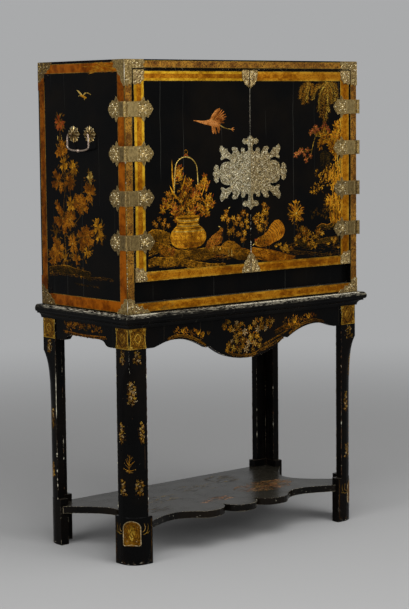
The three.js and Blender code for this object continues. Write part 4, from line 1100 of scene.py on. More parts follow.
def paintCockerel(sheet):
    spine, breadth = smoothed(cockerel["spine"], 5), cockerel["breadth"]
    last = len(spine) - 1
    sheet.stroke(spine, 1, "orangeGold", breadth, 0.6)
    plumage(sheet, cockerel["spine"][:4], (10, 36, 44, 45), "bushGold", "orangeGold", 10)
    for i in range(last * 2 // 5, last):   # the tail's sickle feathers lie one over the other
        along, half = heading(spine[i], spine[i + 1]), shareAt(breadth, i / last) / 2
        line = bowed(away(spine[i], along + pi / 2, half), away(spine[i], along - pi / 2, half), 0.3, 8)
        sheet.stroke(line, 5, "orangeGold", "band", 1.05)
        if i % 2:
            sheet.stroke([away(p, along, 2.6) for p in line], 2.6, "sprinkledGold", "stem", 1.3)
    sheet.arc((28, 967), (19, 962), 0.1, 3, 4.5, "paleGold", "leaf", 0.7)
    for u in (32, 37, 42):
        sheet.arc((u, 975), (u - 1, 983), 0.1, 3, 4.5, "copperRed", "petal", 0.8)
    sheet.dot((35, 970), 1.6, "paleGold", 1.4)
    for foot in (76, 90):
        sheet.arc((foot, 958), (foot + 3, 944), 0.1, 4, 2.6, "bronzeGold", "stem", 0.6)


def paintRightDoor():
    sheet = GoldSheet("gilt_picture_right_door", "right_door", frontFace)
    for bank in (
            ([(150, 944), (210, 962), (260, 958), (310, 952), (360, 958), (414, 950)],
                44, "bronzeGold", None, 0.6),
            ([(15, 955), (60, 950), (110, 940), (150, 930), (200, 916)], 38, "orangeGold", "bushGold", 2.6),
            ([(30, 950), (70, 945), (120, 934), (160, 924)], 10, "leafGold", None, 1.6),
            ([(15, 925), (60, 922), (120, 912)], 10, "bronzeGold", None, 0.4),
            ([(190, 938), (240, 930), (300, 922), (350, 914), (404, 918)], 10, "bronzeGold", None, 0.5),
            ([(200, 976), (250, 964), (290, 958), (330, 968), (404, 972)],
                20, "bronzeGold", "sprinkledGold", 0.5)):
        ground(sheet, *bank)
    paintWillow(sheet)
    paintTree(sheet)
    paintCliff(sheet)
    paintCockerel(sheet)
    leafMass(sheet, [(210, 1058, 34)], 13, ("bronzeGold", "orangeGold", "leafGold"), 1.2, 0)
    for tip in ((176, 1060), (183, 1092), (198, 1098), (212, 1101), (224, 1094), (235, 1081), (247, 1068),
            (248, 1054), (240, 1038), (222, 1029), (206, 1026), (192, 1034), (178, 1042), (170, 1051),
            (172, 1076)):
        sheet.arc((210, 1056), tip, between(-0.3, 0.3), 5, between(3, 6),
            chance.choice(("leafGold", "orangeGold", "bronzeGold")), "leaf", 0.5)
    bloom(sheet, (211, 1056), 21, "leafGold", "paleGold", 9)
    blooms(sheet, ((226, 1040, 10), (232, 1060, 10), (196, 1046, 10)), ("orangeGold",))
    leafSpray(sheet, (222, 985), (212, 1036), 0.1, 13, 6, "bronzeGold")
    blooms(sheet, ((71, 1088, 12), (71, 1069, 13), (43, 1056, 13), (36, 1038, 12), (61, 1041, 11),
            (82, 1062, 10), (77, 1031, 11), (48, 1023, 10), (56, 1010, 10), (87, 1078, 8), (26, 1047, 8),
            (62, 1056, 9), (248, 995, 14), (267, 988, 13), (235, 1005, 11), (221, 981, 12), (246, 967, 12),
            (280, 955, 12), (307, 991, 14), (327, 985, 11), (300, 977, 11), (261, 974, 10), (208, 972, 10),
            (294, 946, 11), (264, 952, 9), (156, 942, 10), (175, 936, 10), (189, 941, 9), (163, 952, 9),
            (143, 947, 8), (388, 962, 8), (381, 955, 8), (372, 964, 7)), ("orangeGold", "leafGold",
            "leafGold"))
    for start, end, bend in (((58, 1000), (70, 1080), -0.1), ((46, 1000), (38, 1050), 0.1),
            ((70, 1000), (84, 1060), -0.1), ((240, 950), (250, 1010), 0.1), ((262, 950), (232, 1012), 0.1),
            ((300, 950), (318, 1000), -0.1), ((170, 925), (160, 960), 0.1), ((380, 940), (384, 968), 0.1)):
        leafSpray(sheet, start, end, bend, 10, 7, "bronzeGold")
    leafMass(sheet, [(248, 985, 22), (296, 975, 18), (285, 950, 14), (168, 942, 16)], 9,
        ("bronzeGold", "leafGold"), 0.9, 0.4)
    for spot in ((120, 950), (135, 955), (355, 945), (400, 930), (210, 950), (30, 940)):
        tuft(sheet, spot, 14, 6, "leafGold")
    sheet.lay()


paintLeftDoor()
paintRightDoor()
print("door pictures painted")

# the sides of the case: a flowering bush on a bank, and a small bird over it
bush = [   # heart of each spray, then the tips of its petals
    ((122, 1360), [(142, 1365), (99, 1356), (135, 1340), (112, 1341), (126, 1380)], "copperRed"),
    ((114, 1278), [(113, 1302), (132, 1276), (106, 1258), (124, 1256), (86, 1270), (141, 1257), (98, 1290)],
        "bushGold"),
    ((102, 1231), [(116, 1216), (84, 1226), (117, 1241), (93, 1215), (98, 1246)], "leafGold"),
    ((54, 1218), [(57, 1240), (42, 1226), (35, 1208), (68, 1224), (62, 1203), (46, 1204)], "leafGold"),
    ((133, 1174), [(155, 1206), (166, 1164), (140, 1190), (110, 1163), (115, 1143), (148, 1154), (122, 1196)],
        "bushGold"),
    ((76, 1172), [(54, 1158), (65, 1194), (88, 1189), (72, 1151), (98, 1166), (52, 1178)], "bushGold"),
    ((-30, 1141), [(-12, 1152), (-54, 1147), (-38, 1118), (-8, 1164), (-55, 1162), (-18, 1122), (-34, 1168)],
        "bushGold"),
    ((-34, 1184), [(-44, 1196), (-24, 1194), (-36, 1172), (-35, 1206)], "paleGold"),
    ((20, 1106), [(46, 1130), (54, 1100), (14, 1078), (-20, 1090), (-12, 1115), (32, 1086), (0, 1131),
        (24, 1134)], "bushGold"),
    ((66, 1108), [(80, 1086), (74, 1126), (86, 1106), (52, 1116), (56, 1090)], "leafGold"),
    ((112, 1058), [(142, 1096), (152, 1112), (160, 1054), (137, 1034), (101, 1014), (122, 1084), (90, 1034),
        (84, 1052)], "bushGold"),
    ((74, 1056), [(56, 1042), (47, 1068), (89, 1078), (66, 1084), (78, 1030), (98, 1062)], "bushGold"),
    ((0, 1006), [(-18, 1037), (-50, 1023), (-25, 981), (32, 1018), (24, 984), (8, 1034), (-48, 990),
        (16, 964), (4, 978)], "bushGold"),
    ((-71, 1038), [(-68, 1064), (-92, 1010), (-82, 1022), (-55, 1049), (-90, 1046), (-56, 1024)], "leafGold"),
    ((-76, 1012), [(-92, 1000), (-66, 1000), (-86, 1022)], "leafGold"),
    ((62, 982), [(50, 1004), (81, 982), (43, 959), (66, 957), (44, 984), (78, 1000)], "bushGold"),
    ((-14, 958), [(-6, 970), (-20, 946), (-29, 958), (-2, 954)], "leafGold"),
    ((142, 955), [(162, 998), (181, 942), (136, 986), (112, 970), (168, 968), (138, 922), (164, 926),
        (118, 940)], "bushGold"),
    ((104, 930), [(112, 918), (90, 924), (118, 944), (96, 946)], "bronzeGold"),
    ((172, 930), [(182, 914), (160, 914), (184, 946)], "bushGold"),
    ((44, 932), [(26, 940), (40, 920), (60, 936), (48, 948)], "bushGold"),
    ((152, 1008), [(164, 1020), (142, 1020), (152, 992)], "bronzeGold"),
]


def paintSide(name, face, spread):
    sheet = GoldSheet("gilt_picture_case_" + name, "cabinet", face)

    def drift(p):
        return p[0] + between(-spread, spread), p[1] + between(-spread, spread)

    for line, wide in (
            ([(94, 914), (100, 960), (104, 1010), (104, 1060), (106, 1106), (98, 1150), (102, 1200),
                (112, 1260), (120, 1320), (118, 1372)], 4),
            ([(104, 1000), (70, 1030), (30, 1060), (-6, 1096), (-28, 1136)], 3),
            ([(98, 956), (50, 976), (6, 1000), (-40, 1018), (-70, 1036)], 3),
            ([(102, 1190), (74, 1204), (52, 1218)], 2.6), ([(-28, 1136), (-34, 1164), (-35, 1190)], 2.2),
            ([(96, 930), (120, 940), (142, 955)], 2.6), ([(112, 1278), (126, 1300), (134, 1314)], 1.8),
            ([(100, 1150), (84, 1166), (74, 1172)], 2.4)):
        sheet.curve([drift(p) for p in line], 4, wide, "bronzeGold", "stem", 0.35)
    for heart, tips, finish in bush:
        leafMass(sheet, [(heart[0], heart[1], 26)], 15, ("bronzeGold", "blockGold"), 0.8, 0.1)
        heart = drift(heart)
        for tip in map(drift, tips):
            far = hypot(tip[0] - heart[0], tip[1] - heart[1])
            wide = min(25, 8 + far * 0.42)
            line = bowed(heart, tip, between(-0.12, 0.12), 6)
            sheet.stroke(line, wide, "bronzeGold", "petal", 0.35)
            sheet.stroke(line, wide * 0.66, finish, "petal", 0.55)
            along = heading(heart, tip)
            for hand in (-1, 1):   # lobes of the petal
                for k in (2, 3, 4):
                    sheet.arc(line[k], away(line[k], along + hand * 0.75, wide * 0.62), 0, 3, wide * 0.4,
                        finish, "petal", 0.5)
            sheet.stroke(line[1:], 1.4, "leafGold" if chance.random() < 0.5 else "copperRed", "stem", 0.75)
        bloom(sheet, heart, 12 if len(tips) > 5 else 8, "orangeGold" if len(tips) > 6 else finish, "paleGold",
            7)
    for u, v in ((118, 1386), (134, 1315), (112, 1317), (-36, 1208), (150, 1114), (-92, 1062)):
        sheet.arc((u, v - 12), (u, v + 3), 0.1, 4, 3.4, "paleGold", "leaf", 0.45)
    for bank in (
            ([(192, 902), (150, 908), (95, 911), (40, 904), (-31, 898)], 26, "leafGold", "sprinkledGold", 1),
            ([(190, 880), (140, 886), (60, 884), (-30, 882), (-90, 886), (-140, 884)],
                8, "bronzeGold", None, 0.4),
            ([(60, 860), (10, 857), (-72, 856)], 4, "sprinkledGold", None, 0.3)):
        ground(sheet, *bank)
    for spot in ((150, 910), (70, 908), (10, 902)):
        tuft(sheet, spot, 13, 6, "bronzeGold")
    sheet.curve([(10, 1442), (0, 1441), (-12, 1437), (-24, 1435)], 3, 10, "leafGold", (0.3, 0.8, 1, 0.3), 0.6)
    for root, tip, bend, wide in (((2, 1440), (27, 1459), 0.15, 7), ((-2, 1441), (19, 1455), 0.1, 6),
            ((-6, 1441), (-28, 1450), -0.25, 6), ((-24, 1450), (-48, 1443), -0.1, 4),
            ((-10, 1438), (-16, 1428), 0.1, 5), ((12, 1442), (19, 1439), 0.1, 3)):
        sheet.arc(root, tip, bend, 5, wide, "paleGold", "leaf", 0.6)
    sheet.lay()


paintSide("left", leftFace, 0)
paintSide("right", rightFace, 7)
print("side pictures painted")

# the stand's gilding: blocks on the leg heads, sprigs on the legs, badges on the feet, aprons
legShape = {"side": 481, "square": 1.5, "round": 54, "easeFrom": 630, "ease": 45, "flange": 66,
    "thick": 25, "footTop": 150, "footProud": 1, "footGrowth": 15}
legFront, legBack = corners("apron_front")[0][1] - 3, corners("apron_back")[1][1] + 3


def legRadius(v):   # of the leg's outer edge, which is square at the head and eases to round
    if v >= legShape["easeFrom"]:
        return legShape["square"]
    eased = 1 - exp((v - legShape["easeFrom"]) / legShape["ease"])
    return legShape["square"] + (legShape["round"] - legShape["square"]) * eased


# across: mm from the leg's outer corner, round it to the front or back (+) and side (-)
def legFace(hand, depth):
    plane = legFront if depth < 0 else legBack

    def spot(u, v, h):
        r = legRadius(v)
        if v < legShape["footTop"]:
            h += legShape["footProud"]
        turn = r * pi / 4
        if abs(u) <= turn:
            lean = pi / 4 + u / r
            x, y = r - (r + h) * cos(lean), r - (r + h) * sin(lean)
        else:
            x, y = r + abs(u) - turn, -h
            if u < 0:
                x, y = y, x
        return hand * (legShape["side"] - x), plane + (y if depth < 0 else -y), v

    return spot


def legReach(v):   # how far across the gilding can go
    r = legRadius(v)
    return legShape["flange"] - r + r * pi / 4 + (legShape["footGrowth"] if v < legShape["footTop"] else 0)


def sprig(sheet, foot, height, finish, seedlings, reach):   # a small plant with blossoms
    u, v = foot
    for lean in (-0.3, 0, 0.3):
        sheet.arc((u, v), (u + sin(lean) * height * 0.6, v + height * 0.8), 0.1, 5, 1.6, "bronzeGold", "stem",
            0.5)
    for i in range(seedlings * 3):
        t = chance.random()
        root = u + between(-1, 1) * reach * (1 - 0.5 * t), v + height * (0.06 + 0.86 * t)
        sheet.arc(root, away(root, between(0, 3.14), between(5, 10)), 0.15, 4, 3.4,
            chance.choice(("bronzeGold", "creamGold", "blockGold", "lineGold")), "leaf", 0.5)
    for i in range(seedlings):
        t = (i + between(0.2, 0.8)) / seedlings
        spot = u + (-1) ** i * between(0.1, 0.95) * reach * (1 - 0.5 * t), v + height * (0.08 + 0.88 * t)
        bloom(sheet, spot, between(4.5, 7), (finish, "lineGold", "creamGold")[i % 3], "paleGold", 5)


def coral(sheet, foot, height, finish):   # a spiky tuft with bare twigs
    u, v = foot
    spine = bowed((u, v + 4), (u + 3, v + height), 0.06, 8)
    sheet.stroke(spine, 3.6, finish, "stem", 0.6)
    for k, hand, far, lean in ((1, -1, 19, 0.35), (1, 1, 20, 0.2), (2, -1, 21, 0.8), (2, 1, 17, 0.95),
            (3, -1, 20, 1.05), (3, 1, 21, 0.65), (4, -1, 14, 1.15), (4, 1, 16, 1), (5, 1, 13, 0.8),
            (6, -1, 9, 0.9)):
        tip = spine[k][0] + hand * far * cos(lean), spine[k][1] + far * sin(lean)
        sheet.arc(spine[k], tip, -0.08 * hand, 5, 3.2, finish if k % 2 else "badgeGold", "stem", 0.5)
        sheet.dot(tip, 2, "badgeGold", 0.7)
    for lean in (0.1, 0.7, 2.4, 2.9):
        sheet.arc((u, v + 8), away((u, v + 6), lean, 15), -0.15, 4, 4.4, "badgeGold", "leaf", 0.5)


# the gilt block at a leg's head: its foot, how far under the top it ends, its hollow sides, its lozenge
block = {"low": 673, "under": 12, "waist": 0.06, "wide": 0.36, "tall": 0.42}


def legBlock(sheet, ends, levels):   # gilt block with hollow sides, a diaper of lozenges and a paler outline
    (u0, u1), (v0, v1) = ends, levels
    waist = (u1 - u0) * block["waist"]
    rows = [(v0 + (v1 - v0) * i / 8, u0 + waist * sin(pi * i / 8),
            u1 - waist * sin(pi * i / 8)) for i in range(9)]
    sheet.spread(rows, "blockGold", 0.3, 6)
    left, right = [(a, v) for v, a, b in rows], [(b, v) for v, a, b in rows]
    for line in (left, right, [left[0], right[0]], [left[-1], right[-1]]):
        sheet.stroke(line, 2.6, "lineGold", "band", 0.75, 0.2)
    um, vm = (u0 + u1) / 2, (v0 + v1) / 2
    wide, tall = (u1 - u0) * block["wide"], (v1 - v0) * block["tall"]
    for share in (1, 0.55):
        ring = [(um - wide * share, vm), (um, vm + tall * share), (um + wide * share, vm),
            (um, vm - tall * share), (um - wide * share, vm)]
        sheet.curve(ring, 3, 2.6, "sprinkledGold" if share == 1 else "lineGold", "band", 0.7, 0.2)
    for du in (-1, 1):
        for dv in (-1, 1):
            corner = um + du * wide * 0.95, vm + dv * tall * 0.85
            scroll = [away(corner, pi / 2 + du * dv * t * 0.55, 7 * (1 - t / 13)) for t in range(11)]
            sheet.stroke(scroll, 2.6, "sprinkledGold", (0.5, 0.9, 1, 1, 0.8), 0.55)
            for lean in (0.2, 0.8, 1.4):
                sheet.arc(corner, away(corner, atan2(dv, du) + lean - 0.8, 9), 0.1, 3, 3, "lineGold", "leaf",
                    0.7, 0.2)
    leafMass(sheet, [(um, vm, wide * 0.9)], 8, ("sprinkledGold", "leafGold", "bronzeGold"), 1.6, 0)
    bloom(sheet, (um, vm), 8, "leafGold", "paleGold", 6)


badge = {"low": 61, "high": 138, "half": 28}


def footBadge(sheet, middle):   # arched shield, a paler outline, a lozenge of leaves at its heart
    low, high, half = badge["low"], badge["high"], badge["half"]
    levels = [low, low + 3, low + 8] + [low + 8 + (high - half * 0.8 - low - 8) * i / 3 for i in range(1, 4)]
    rows = [(v, middle - half + (5 if v == low else 0),
            middle + half - (5 if v == low else 0)) for v in levels]
    for i in range(1, 9):
        turn = pi / 2 * i / 8
        far = max(half * cos(turn), 2)
        rows.append((high - half * 0.8 * (1 - sin(turn)), middle - far, middle + far))
    sheet.spread(rows, "blockGold", 0.5, 12)
    rim = [(a, v) for v, a, b in rows] + [(b, v) for v, a, b in reversed(rows)]
    foot = [(middle + half - 5, low), (middle + 12, low + 2), (middle, low + 4), (middle - 12, low + 2),
        rim[0]]
    sheet.stroke(rim + foot, 3, "creamGold", "band", 1, 0.4)
    inner = [(middle + (u - middle) * 0.82, 99 + (v - 99) * 0.84) for u, v in rim]
    sheet.stroke(inner + [inner[0]], 2, "bronzeGold", "band", 0.85, 0.4)
    leafMass(sheet, [(middle, 96, 20), (middle, 112, 15), (middle, 80, 16)], 7,
        ("badgeGold", "roseGold", "creamGold", "badgeGold"), 2.4, 0.4)
    for _ in range(30):   # the lozenge
        t = between(-1, 1)
        root = middle + between(-1, 1) * 10 * (1 - abs(t)), 98 + 22 * t
        sheet.arc(root, away(root, between(0.8, 2.3), 9), 0.1, 4, 4.6, "lineGold", "leaf", 0.95, 0.4)
    for hand in (-1, 1):
        for u, v, r in ((17, 120, 5), (19, 100, 4.5), (15, 76, 6), (7, 126, 4), (21, 88, 4)):
            bloom(sheet, (middle + hand * u, v), r, "creamGold" if r > 4.6 else "paleGold", "creamGold", 5)
        for line, finish in (([(33, 98), (42, 96), (50, 102), (55, 114), (54, 128)], "lineGold"),
                ([(34, 104), (41, 108), (44, 118), (40, 130)], "badgeGold"),
                ([(46, 100), (54, 99), (60, 104)], "lineGold")):
            sheet.curve([(middle + hand * u, v) for u, v in line], 3, 2.4, finish, "stem", 0.6)


def gildLegs():
    top = legTop - 4
    for depthName, depth in (("front", -1), ("back", 1)):
        for name, hand in sides:
            sheet = GoldSheet(f"gilding_leg_{depthName}_{name}", "cabinet", legFace(hand, depth), sunk=0.5)
            faces = (-1, 1) if depth < 0 else (-1,)   # the back legs are gilt on their side faces alone
            for way in faces:
                legBlock(sheet, sorted((way * 2, way * (legShape["flange"] - 1))),
                    (block["low"], top - block["under"]))
                for centre, low, tall, reach in ((34, 622, 46, 12), (33, 376, 72, 12), (30, 216, 54, 12)):
                    if way > 0 and depth < 0 and tall < 60:
                        centre, reach = centre - 5, 18
                    sprig(sheet, (way * centre, low), tall, "blockGold" if depth > 0 else "badgeGold", 8,
                        reach)
                edge = [(way * (legReach(v) - 2), v) for v in (160, 300, 440, 560, 600, 628, 660)]
                flakes(sheet, edge, 0.8, 26, (3, 16), (0.8, 2), ("brownedWood", "greyPrime", "brownedWood"))
            if depth < 0:
                sprig(sheet, (4, 494), 82, "badgeGold", 16, 18)
                coral(sheet, (-8, 284), 62, "leafGold")
                footBadge(sheet, -3)
                for way in (-1, 1):   # gold lines round the foot
                    edge = way * (legReach(100) - 5)
                    sheet.stroke([(edge, 12), (edge, 146)], 1.8, "bronzeGold", "band", 0.4)
                    sheet.stroke([(0, 12), (edge * 0.5, 12), (edge, 12)], 1.8, "blockGold", "band", 0.4)
                flakes(sheet, [(52, 10), (64, 44)], 5, 12, (3, 10), (1.2, 2.2), ("bareGesso", "greyPrime"))
                if hand < 0:
                    sheet.stroke([(44, 372), (44.6, 336), (44, 300)], 1.8, "brownedWood", "stem", 0.3)
            for chips in (([(0, 596), (0, 672)], 1, 30, (4, 14), (1.4, 2.6), ("bareGesso", "greyPrime")),
                    ([(0, 672), (0, 738)], 0.8, 16, (4, 14), (1, 2), ("paleGold", "greyPrime")),
                    ([(0, 160), (0, 560)], 26, 16, (2, 8), (0.8, 1.8), ("greyPrime", "brownedWood")),
                    ([(-60, 6), (60, 6)], 3, 22, (4, 14), (1.2, 2.6),
                        ("greyPrime", "brownedWood", "bareGesso"))):
                flakes(sheet, *chips)
            sheet.lay()


def gildAprons():
    sheet = GoldSheet("gilding_apron_front", "cabinet", flatFace(1, corners("apron_front")[0][1], -1))
    for hand in (-1, 1):   # banks that follow the arches
        line = [(hand * u, v) for u, v in ((330, 694), (300, 702), (264, 700), (235, 693), (205, 680),
                (178, 664))]
        ground(sheet, line if hand < 0 else line[::-1], 9, "blockGold", None, 1.4)
        leafMass(sheet, [(hand * 285, 712, 12), (hand * 255, 708, 12), (hand * 222, 702, 14),
                (hand * 195, 690, 12)], 6.5, ("orangeGold", "bronzeGold", "bushGold"), 2.2, 0.7)
        for u, v, h in ((300, 708, 16), (268, 706, 22), (236, 702, 18), (206, 694, 26), (186, 686, 22),
                (164, 690, 18)):
            tuft(sheet, (hand * u, v), h, 5, "leafGold" if h > 20 else "bronzeGold", 0.5)
    for bank in (
            ([(-96, 640), (-60, 622), (-20, 614), (20, 614), (62, 628), (104, 640), (150, 657)],
                10, "blockGold", None, 1.2),
            ([(40, 636), (80, 644), (130, 662), (170, 676)], 7, "bronzeGold", None, 0.7),
            ([(118, 680), (150, 690), (190, 692), (226, 690)], 14, "bushGold", "sprinkledGold", 1.4)):
        ground(sheet, *bank)
    clusters = ((-97, 712, 11), (-80, 724, 9), (-72, 703, 11), (-61, 697, 9), (-46, 718, 9), (-40, 706, 12),
        (-22, 714, 8), (-32, 683, 13), (-52, 676, 12), (-12, 687, 13), (-20, 662, 12), (-46, 660, 11),
        (10, 698, 10), (30, 712, 10), (44, 690, 13), (62, 700, 13), (60, 722, 9), (86, 711, 11),
        (108, 712, 11), (78, 690, 10), (100, 698, 8), (14, 668, 14), (40, 670, 12), (30, 646, 13),
        (4, 650, 12), (-78, 650, 12), (-60, 638, 12), (-86, 636, 9), (-34, 630, 12), (-6, 630, 12),
        (22, 626, 11), (50, 636, 10), (-20, 642, 10), (54, 656, 9), (-66, 662, 8))
    blooms(sheet, [(u, v, r * 1.06) for u, v, r in clusters], ("blockGold", "lineGold", "leafGold",
            "badgeGold", "creamGold"))
    leafMass(sheet, [(-88, 715, 14), (-36, 694, 24), (50, 704, 24), (96, 708, 14), (16, 660, 28),
            (-56, 648, 24), (0, 634, 24), (168, 700, 18), (206, 704, 16)], 8,
        ("bronzeGold", "orangeGold", "blockGold"), 1.2, 0.3)
    sheet.lay()
    outside = corners("apron_left")[0][0]
    for name, hand in sides:
        sheet = GoldSheet("gilding_apron_" + name, "cabinet", flatFace(0, -hand * outside, hand))
        ground(sheet, [(130, 704), (80, 700), (20, 698), (-40, 700), (-90, 702)], 9, "bushGold", None, 0.8)
        leafMass(sheet, [(116, 718, 12), (84, 722, 14), (48, 722, 14), (10, 722, 14), (-30, 720, 14),
                (-62, 716, 12)], 11, ("bushGold", "bronzeGold", "sprinkledGold"), 1.3, 0.5)
        blooms(sheet, [(u, v, 10) for u, v in ((102, 722), (66, 728), (30, 724), (-8, 728), (-44, 722))],
            ("bushGold",), "lineGold")
        sheet.lay()


def gildTier():   # what is left of a worn landscape on the platform
    sheet = GoldSheet("gilding_undertier", "cabinet", flatFace(2, undertierTop, 1))
    for u, v, wide, deep, count, names in (
            (200, -46, 118, 66, 230, ("rubbedCopper", "rubbedCopper", "rubbedGold", "bronzeGold")),
            (250, -30, 90, 34, 70, ("rubbedCopper", "rubbedGold")),
            (165, 130, 60, 60, 60, ("rubbedGold", "sprinkledGold")),
            (-58, -95, 70, 26, 40, ("rubbedCopper", "sprinkledGold")),
            (-188, 25, 90, 50, 40, ("sprinkledGold", "rubbedGold")),
            (-300, -90, 60, 30, 24, ("sprinkledGold",)),
            (20, 90, 90, 50, 30, ("sprinkledGold", "rubbedGold"))):
        for _ in range(count):
            angle, share = between(0, 6.28), sqrt(chance.random())
            root = u + wide * share * cos(angle), v + deep * share * sin(angle)
            sheet.arc(root, away(root, between(-0.2, 0.2), between(14, 46)), 0.06, 4, between(2, 7),
                chance.choice(names), "leaf", 0.2)
    sheet.lay()


gildLegs()
gildAprons()
gildTier()
print("stand gilded")

# wear: chips to the gesso and the wood along knocked edges, and the pale line where the doors meet; also a
# painted shadow on the stand top and painted highlights down the case mounts and a back leg's corner
topOut = {"side": 498, "front": 231, "noseSide": 508.4, "noseFront": 241.4, "noseLevel": 770,
    "thumbOut": 10.6, "thumbDrop": 13}


def chipStandTop():
    sheet = GoldSheet("worn_edge_stand_top", "cabinet", flatFace(2, standTop, 1))
    front, side = -topOut["front"], topOut["side"]
    flakes(sheet, [(-side, front + 2), (0, front + 2), (side - 24, front + 2)], 2.5, 300, (4, 24), (1, 2.4),
        ("greyPrime", "bareGesso", "greyPrime", "brownedWood"))
    # a painted contact shadow: a dark strip of the stand's lacquer on the top, against the case
    sheet.panel((-caseSide, front + 5), (caseSide, caseFront), "japannedStand", 0.2)
    for hand in (-1, 1):
        edge = hand * (side - 5)
        flakes(sheet, [(edge, front), (edge, 0), (edge, 212)], 6, 110, (4, 18), (1, 2.6),
            ("greyPrime", "bareGesso", "greyPrime"))
    sheet.lay()
    nose, level = -topOut["noseFront"], topOut["noseLevel"]
    runs = [((-496, nose + 0.4, level - 2), (-420, nose + 0.4, level - 2), 16, (2, 8), 1.2, "bareGesso")]
    for turn in (0.25, 0.5, 0.75, 1, 1.3):   # round the thumb moulding, whiter on its upper curve and thickest from x -110 to 340
        y, z = front - topOut["thumbOut"] * sin(turn), standTop - topOut["thumbDrop"] * (1 - cos(turn))
        for start, end, count in ((-484, -390, 14), (-390, -110, 8), (-110, 340, 52), (340, 484, 12)):
            finish = "bareGesso" if turn < 0.6 and count != 8 else "greyPrime"
            runs.append(((start, y, z), (end, y, z), max(int(count * (1.2 - 0.6 * turn)), 3), (5, 32), 1.4,
                    finish))
    for hand in (-1, 1):
        out = hand * topOut["noseSide"]
        for inward, lift, count, finish in ((1.2, 4, 20, "greyPrime"), (4, 7.4, 16, "bareGesso"),
                (8, 9.4, 14, "bareGesso")):
            spot = out - hand * inward
            runs.append(((spot, -208, level + lift), (spot, 205, level + lift), count, (8, 44), 1.5, finish))
        edge = out - hand * 0.4
        runs.append(((edge, -226, level - 2), (edge, -150, level - 2), 18, (3, 12), 1.5, "bareGesso"))
    laidChips("worn_nose_stand_top", "cabinet", runs)


def chipLegs():   # the free edges of both flanges, and the edge inside the angle
    side, flange, thick = legShape["side"], legShape["flange"], legShape["thick"]
    runs = []
    for hand in (-1, 1):
        for y, to in ((legFront, 1), (legBack, -1)):
            deep = y + to * flange
            for x, yy, count, half, finish in ((side - flange, y, 20, 1, "brownedWood"),
                    (side - flange, y + to * thick, 14, 1.1, "greyPrime"),
                    (side - thick, deep, 14, 1, "brownedWood"), (side, deep, 10, 1, "greyPrime")):
                count = count if to > 0 else count // 3
                runs += [upright(hand * x, yy, 155, 655, count, (4, 24), half, finish),
                    upright(hand * x, yy, 160, 600, 3, (6, 20), half * 1.2, "bareGesso")]
    rear = legBack - flange   # the back left leg shows the most gesso; the long pale chips down its corner are a painted highlight
    runs.append(upright(-side, rear, 420, 560, 6, (24, 60), 1.3, "bareGesso"))
    for z, far, half in ((298, 7, 4.2), (290, 9, 2.4), (243, 5, 2.2), (240, 4, 1.8), (214, 12, 1.4),
            (196, 6, 1.6), (150, 16, 1.3)):
        runs.append(upright(-side, rear + 1, z - 0.5, z + 0.5, 1, (far, far + 1), half, "bareGesso"))
    laidChips("worn_edges_legs", "cabinet", runs)


def chipTier():   # the platform's edge, chipped most at its notches
    runs = []
    for vertex in nodes["undertier"].data.vertices:
        p = vertex.co / mm
        if p.z > undertierTop - 0.2 and p.y < 0 and chance.random() < 0.22:
            finish = "bareGesso" if chance.random() < 0.2 else "greyPrime"
            drop = between(0, 20) if chance.random() < 0.5 else 0.3
            runs.append(((p.x - 2, p.y, p.z - drop), (p.x + 2, p.y, p.z - drop), 1, (2, 7), 0.9, finish))
    laidChips("worn_edges_undertier", "cabinet", runs)


def chipDoorEdge():   # where the doors meet: dusty above the lock plate, chipped to white below it
    runs = ((1464, 1356, 16, (10, 34), 0.9, "greyPrime"), (1366, 1316, 8, (6, 16), 0.8, "greyPrime"),
        (1066, 1026, 5, (2, 6), 1.2, "greyPrime"), (1018, 1008, 1, (6, 7), 1.7, "bareGesso"),
        (980, 900, 13, (4, 8), 1.5, "bareGesso"))
    laidChips("worn_meeting_edge", "right_door", [upright(meetingRight + 0.2, caseFront + 0.1,
            *run) for run in runs])


def chipCorners():   # the case's front corners, and a painted highlight down each of their mounts
    runs = []
    for hand in (-1, 1):
        for start, end, count, half, finish in ((1476, 820, 40, 0.9, "brownedWood"),
                (1260, 850, 10, 0.9, "bareGesso"), (950, 850, 9, 1, "bareGesso")):
            runs.append(upright(hand * (caseSide - 0.2), caseFront + 0.2, start, end, count, (3, 12), half,
                    finish))
    for name, hand in sides:
        for level in ("top", "bottom"):
            low, high = corners(f"case_mount_{level}_{name}")
            outer, middle, tall = (low if hand < 0 else high)[0], (low[2] + high[2]) / 2, high[2] - low[2]
            runs.append(upright(outer, low[1], middle - 0.5, middle + 0.5, 1, (tall - 4, tall - 3), 0.9,
                    "whitePolish"))
    laidChips("worn_corners_case", "cabinet", runs)


# brass: roundels and smooth straps on the hinges, pins in every plate, leafwork on the lock plate
hingeLevels = [sum(c[2] for c in corners(f"hinge_left_{i}_case_leaf")) / 2 for i in range(1, 5)]
hingeWork = {"roundel": 420, "reach": 11.5, "side": -172, "sideReach": 10.5, "strap": (440, 474),
    "sideStrap": (-208, -190), "half": 20, "litAbove": 1200, "tip": 389, "pinLevel": 17,
    "pins": ((433, 1, 1.8), (407, 0.75, 1.7)), "curl": ((412, 0.5), (394, 0.15))}
# where the painted highlight lies on each barrel, turned towards the front
barrel = {"across": 489.5, "front": -220.5, "radius": 5, "out": 0.66, "ahead": 0.96, "end": 21}


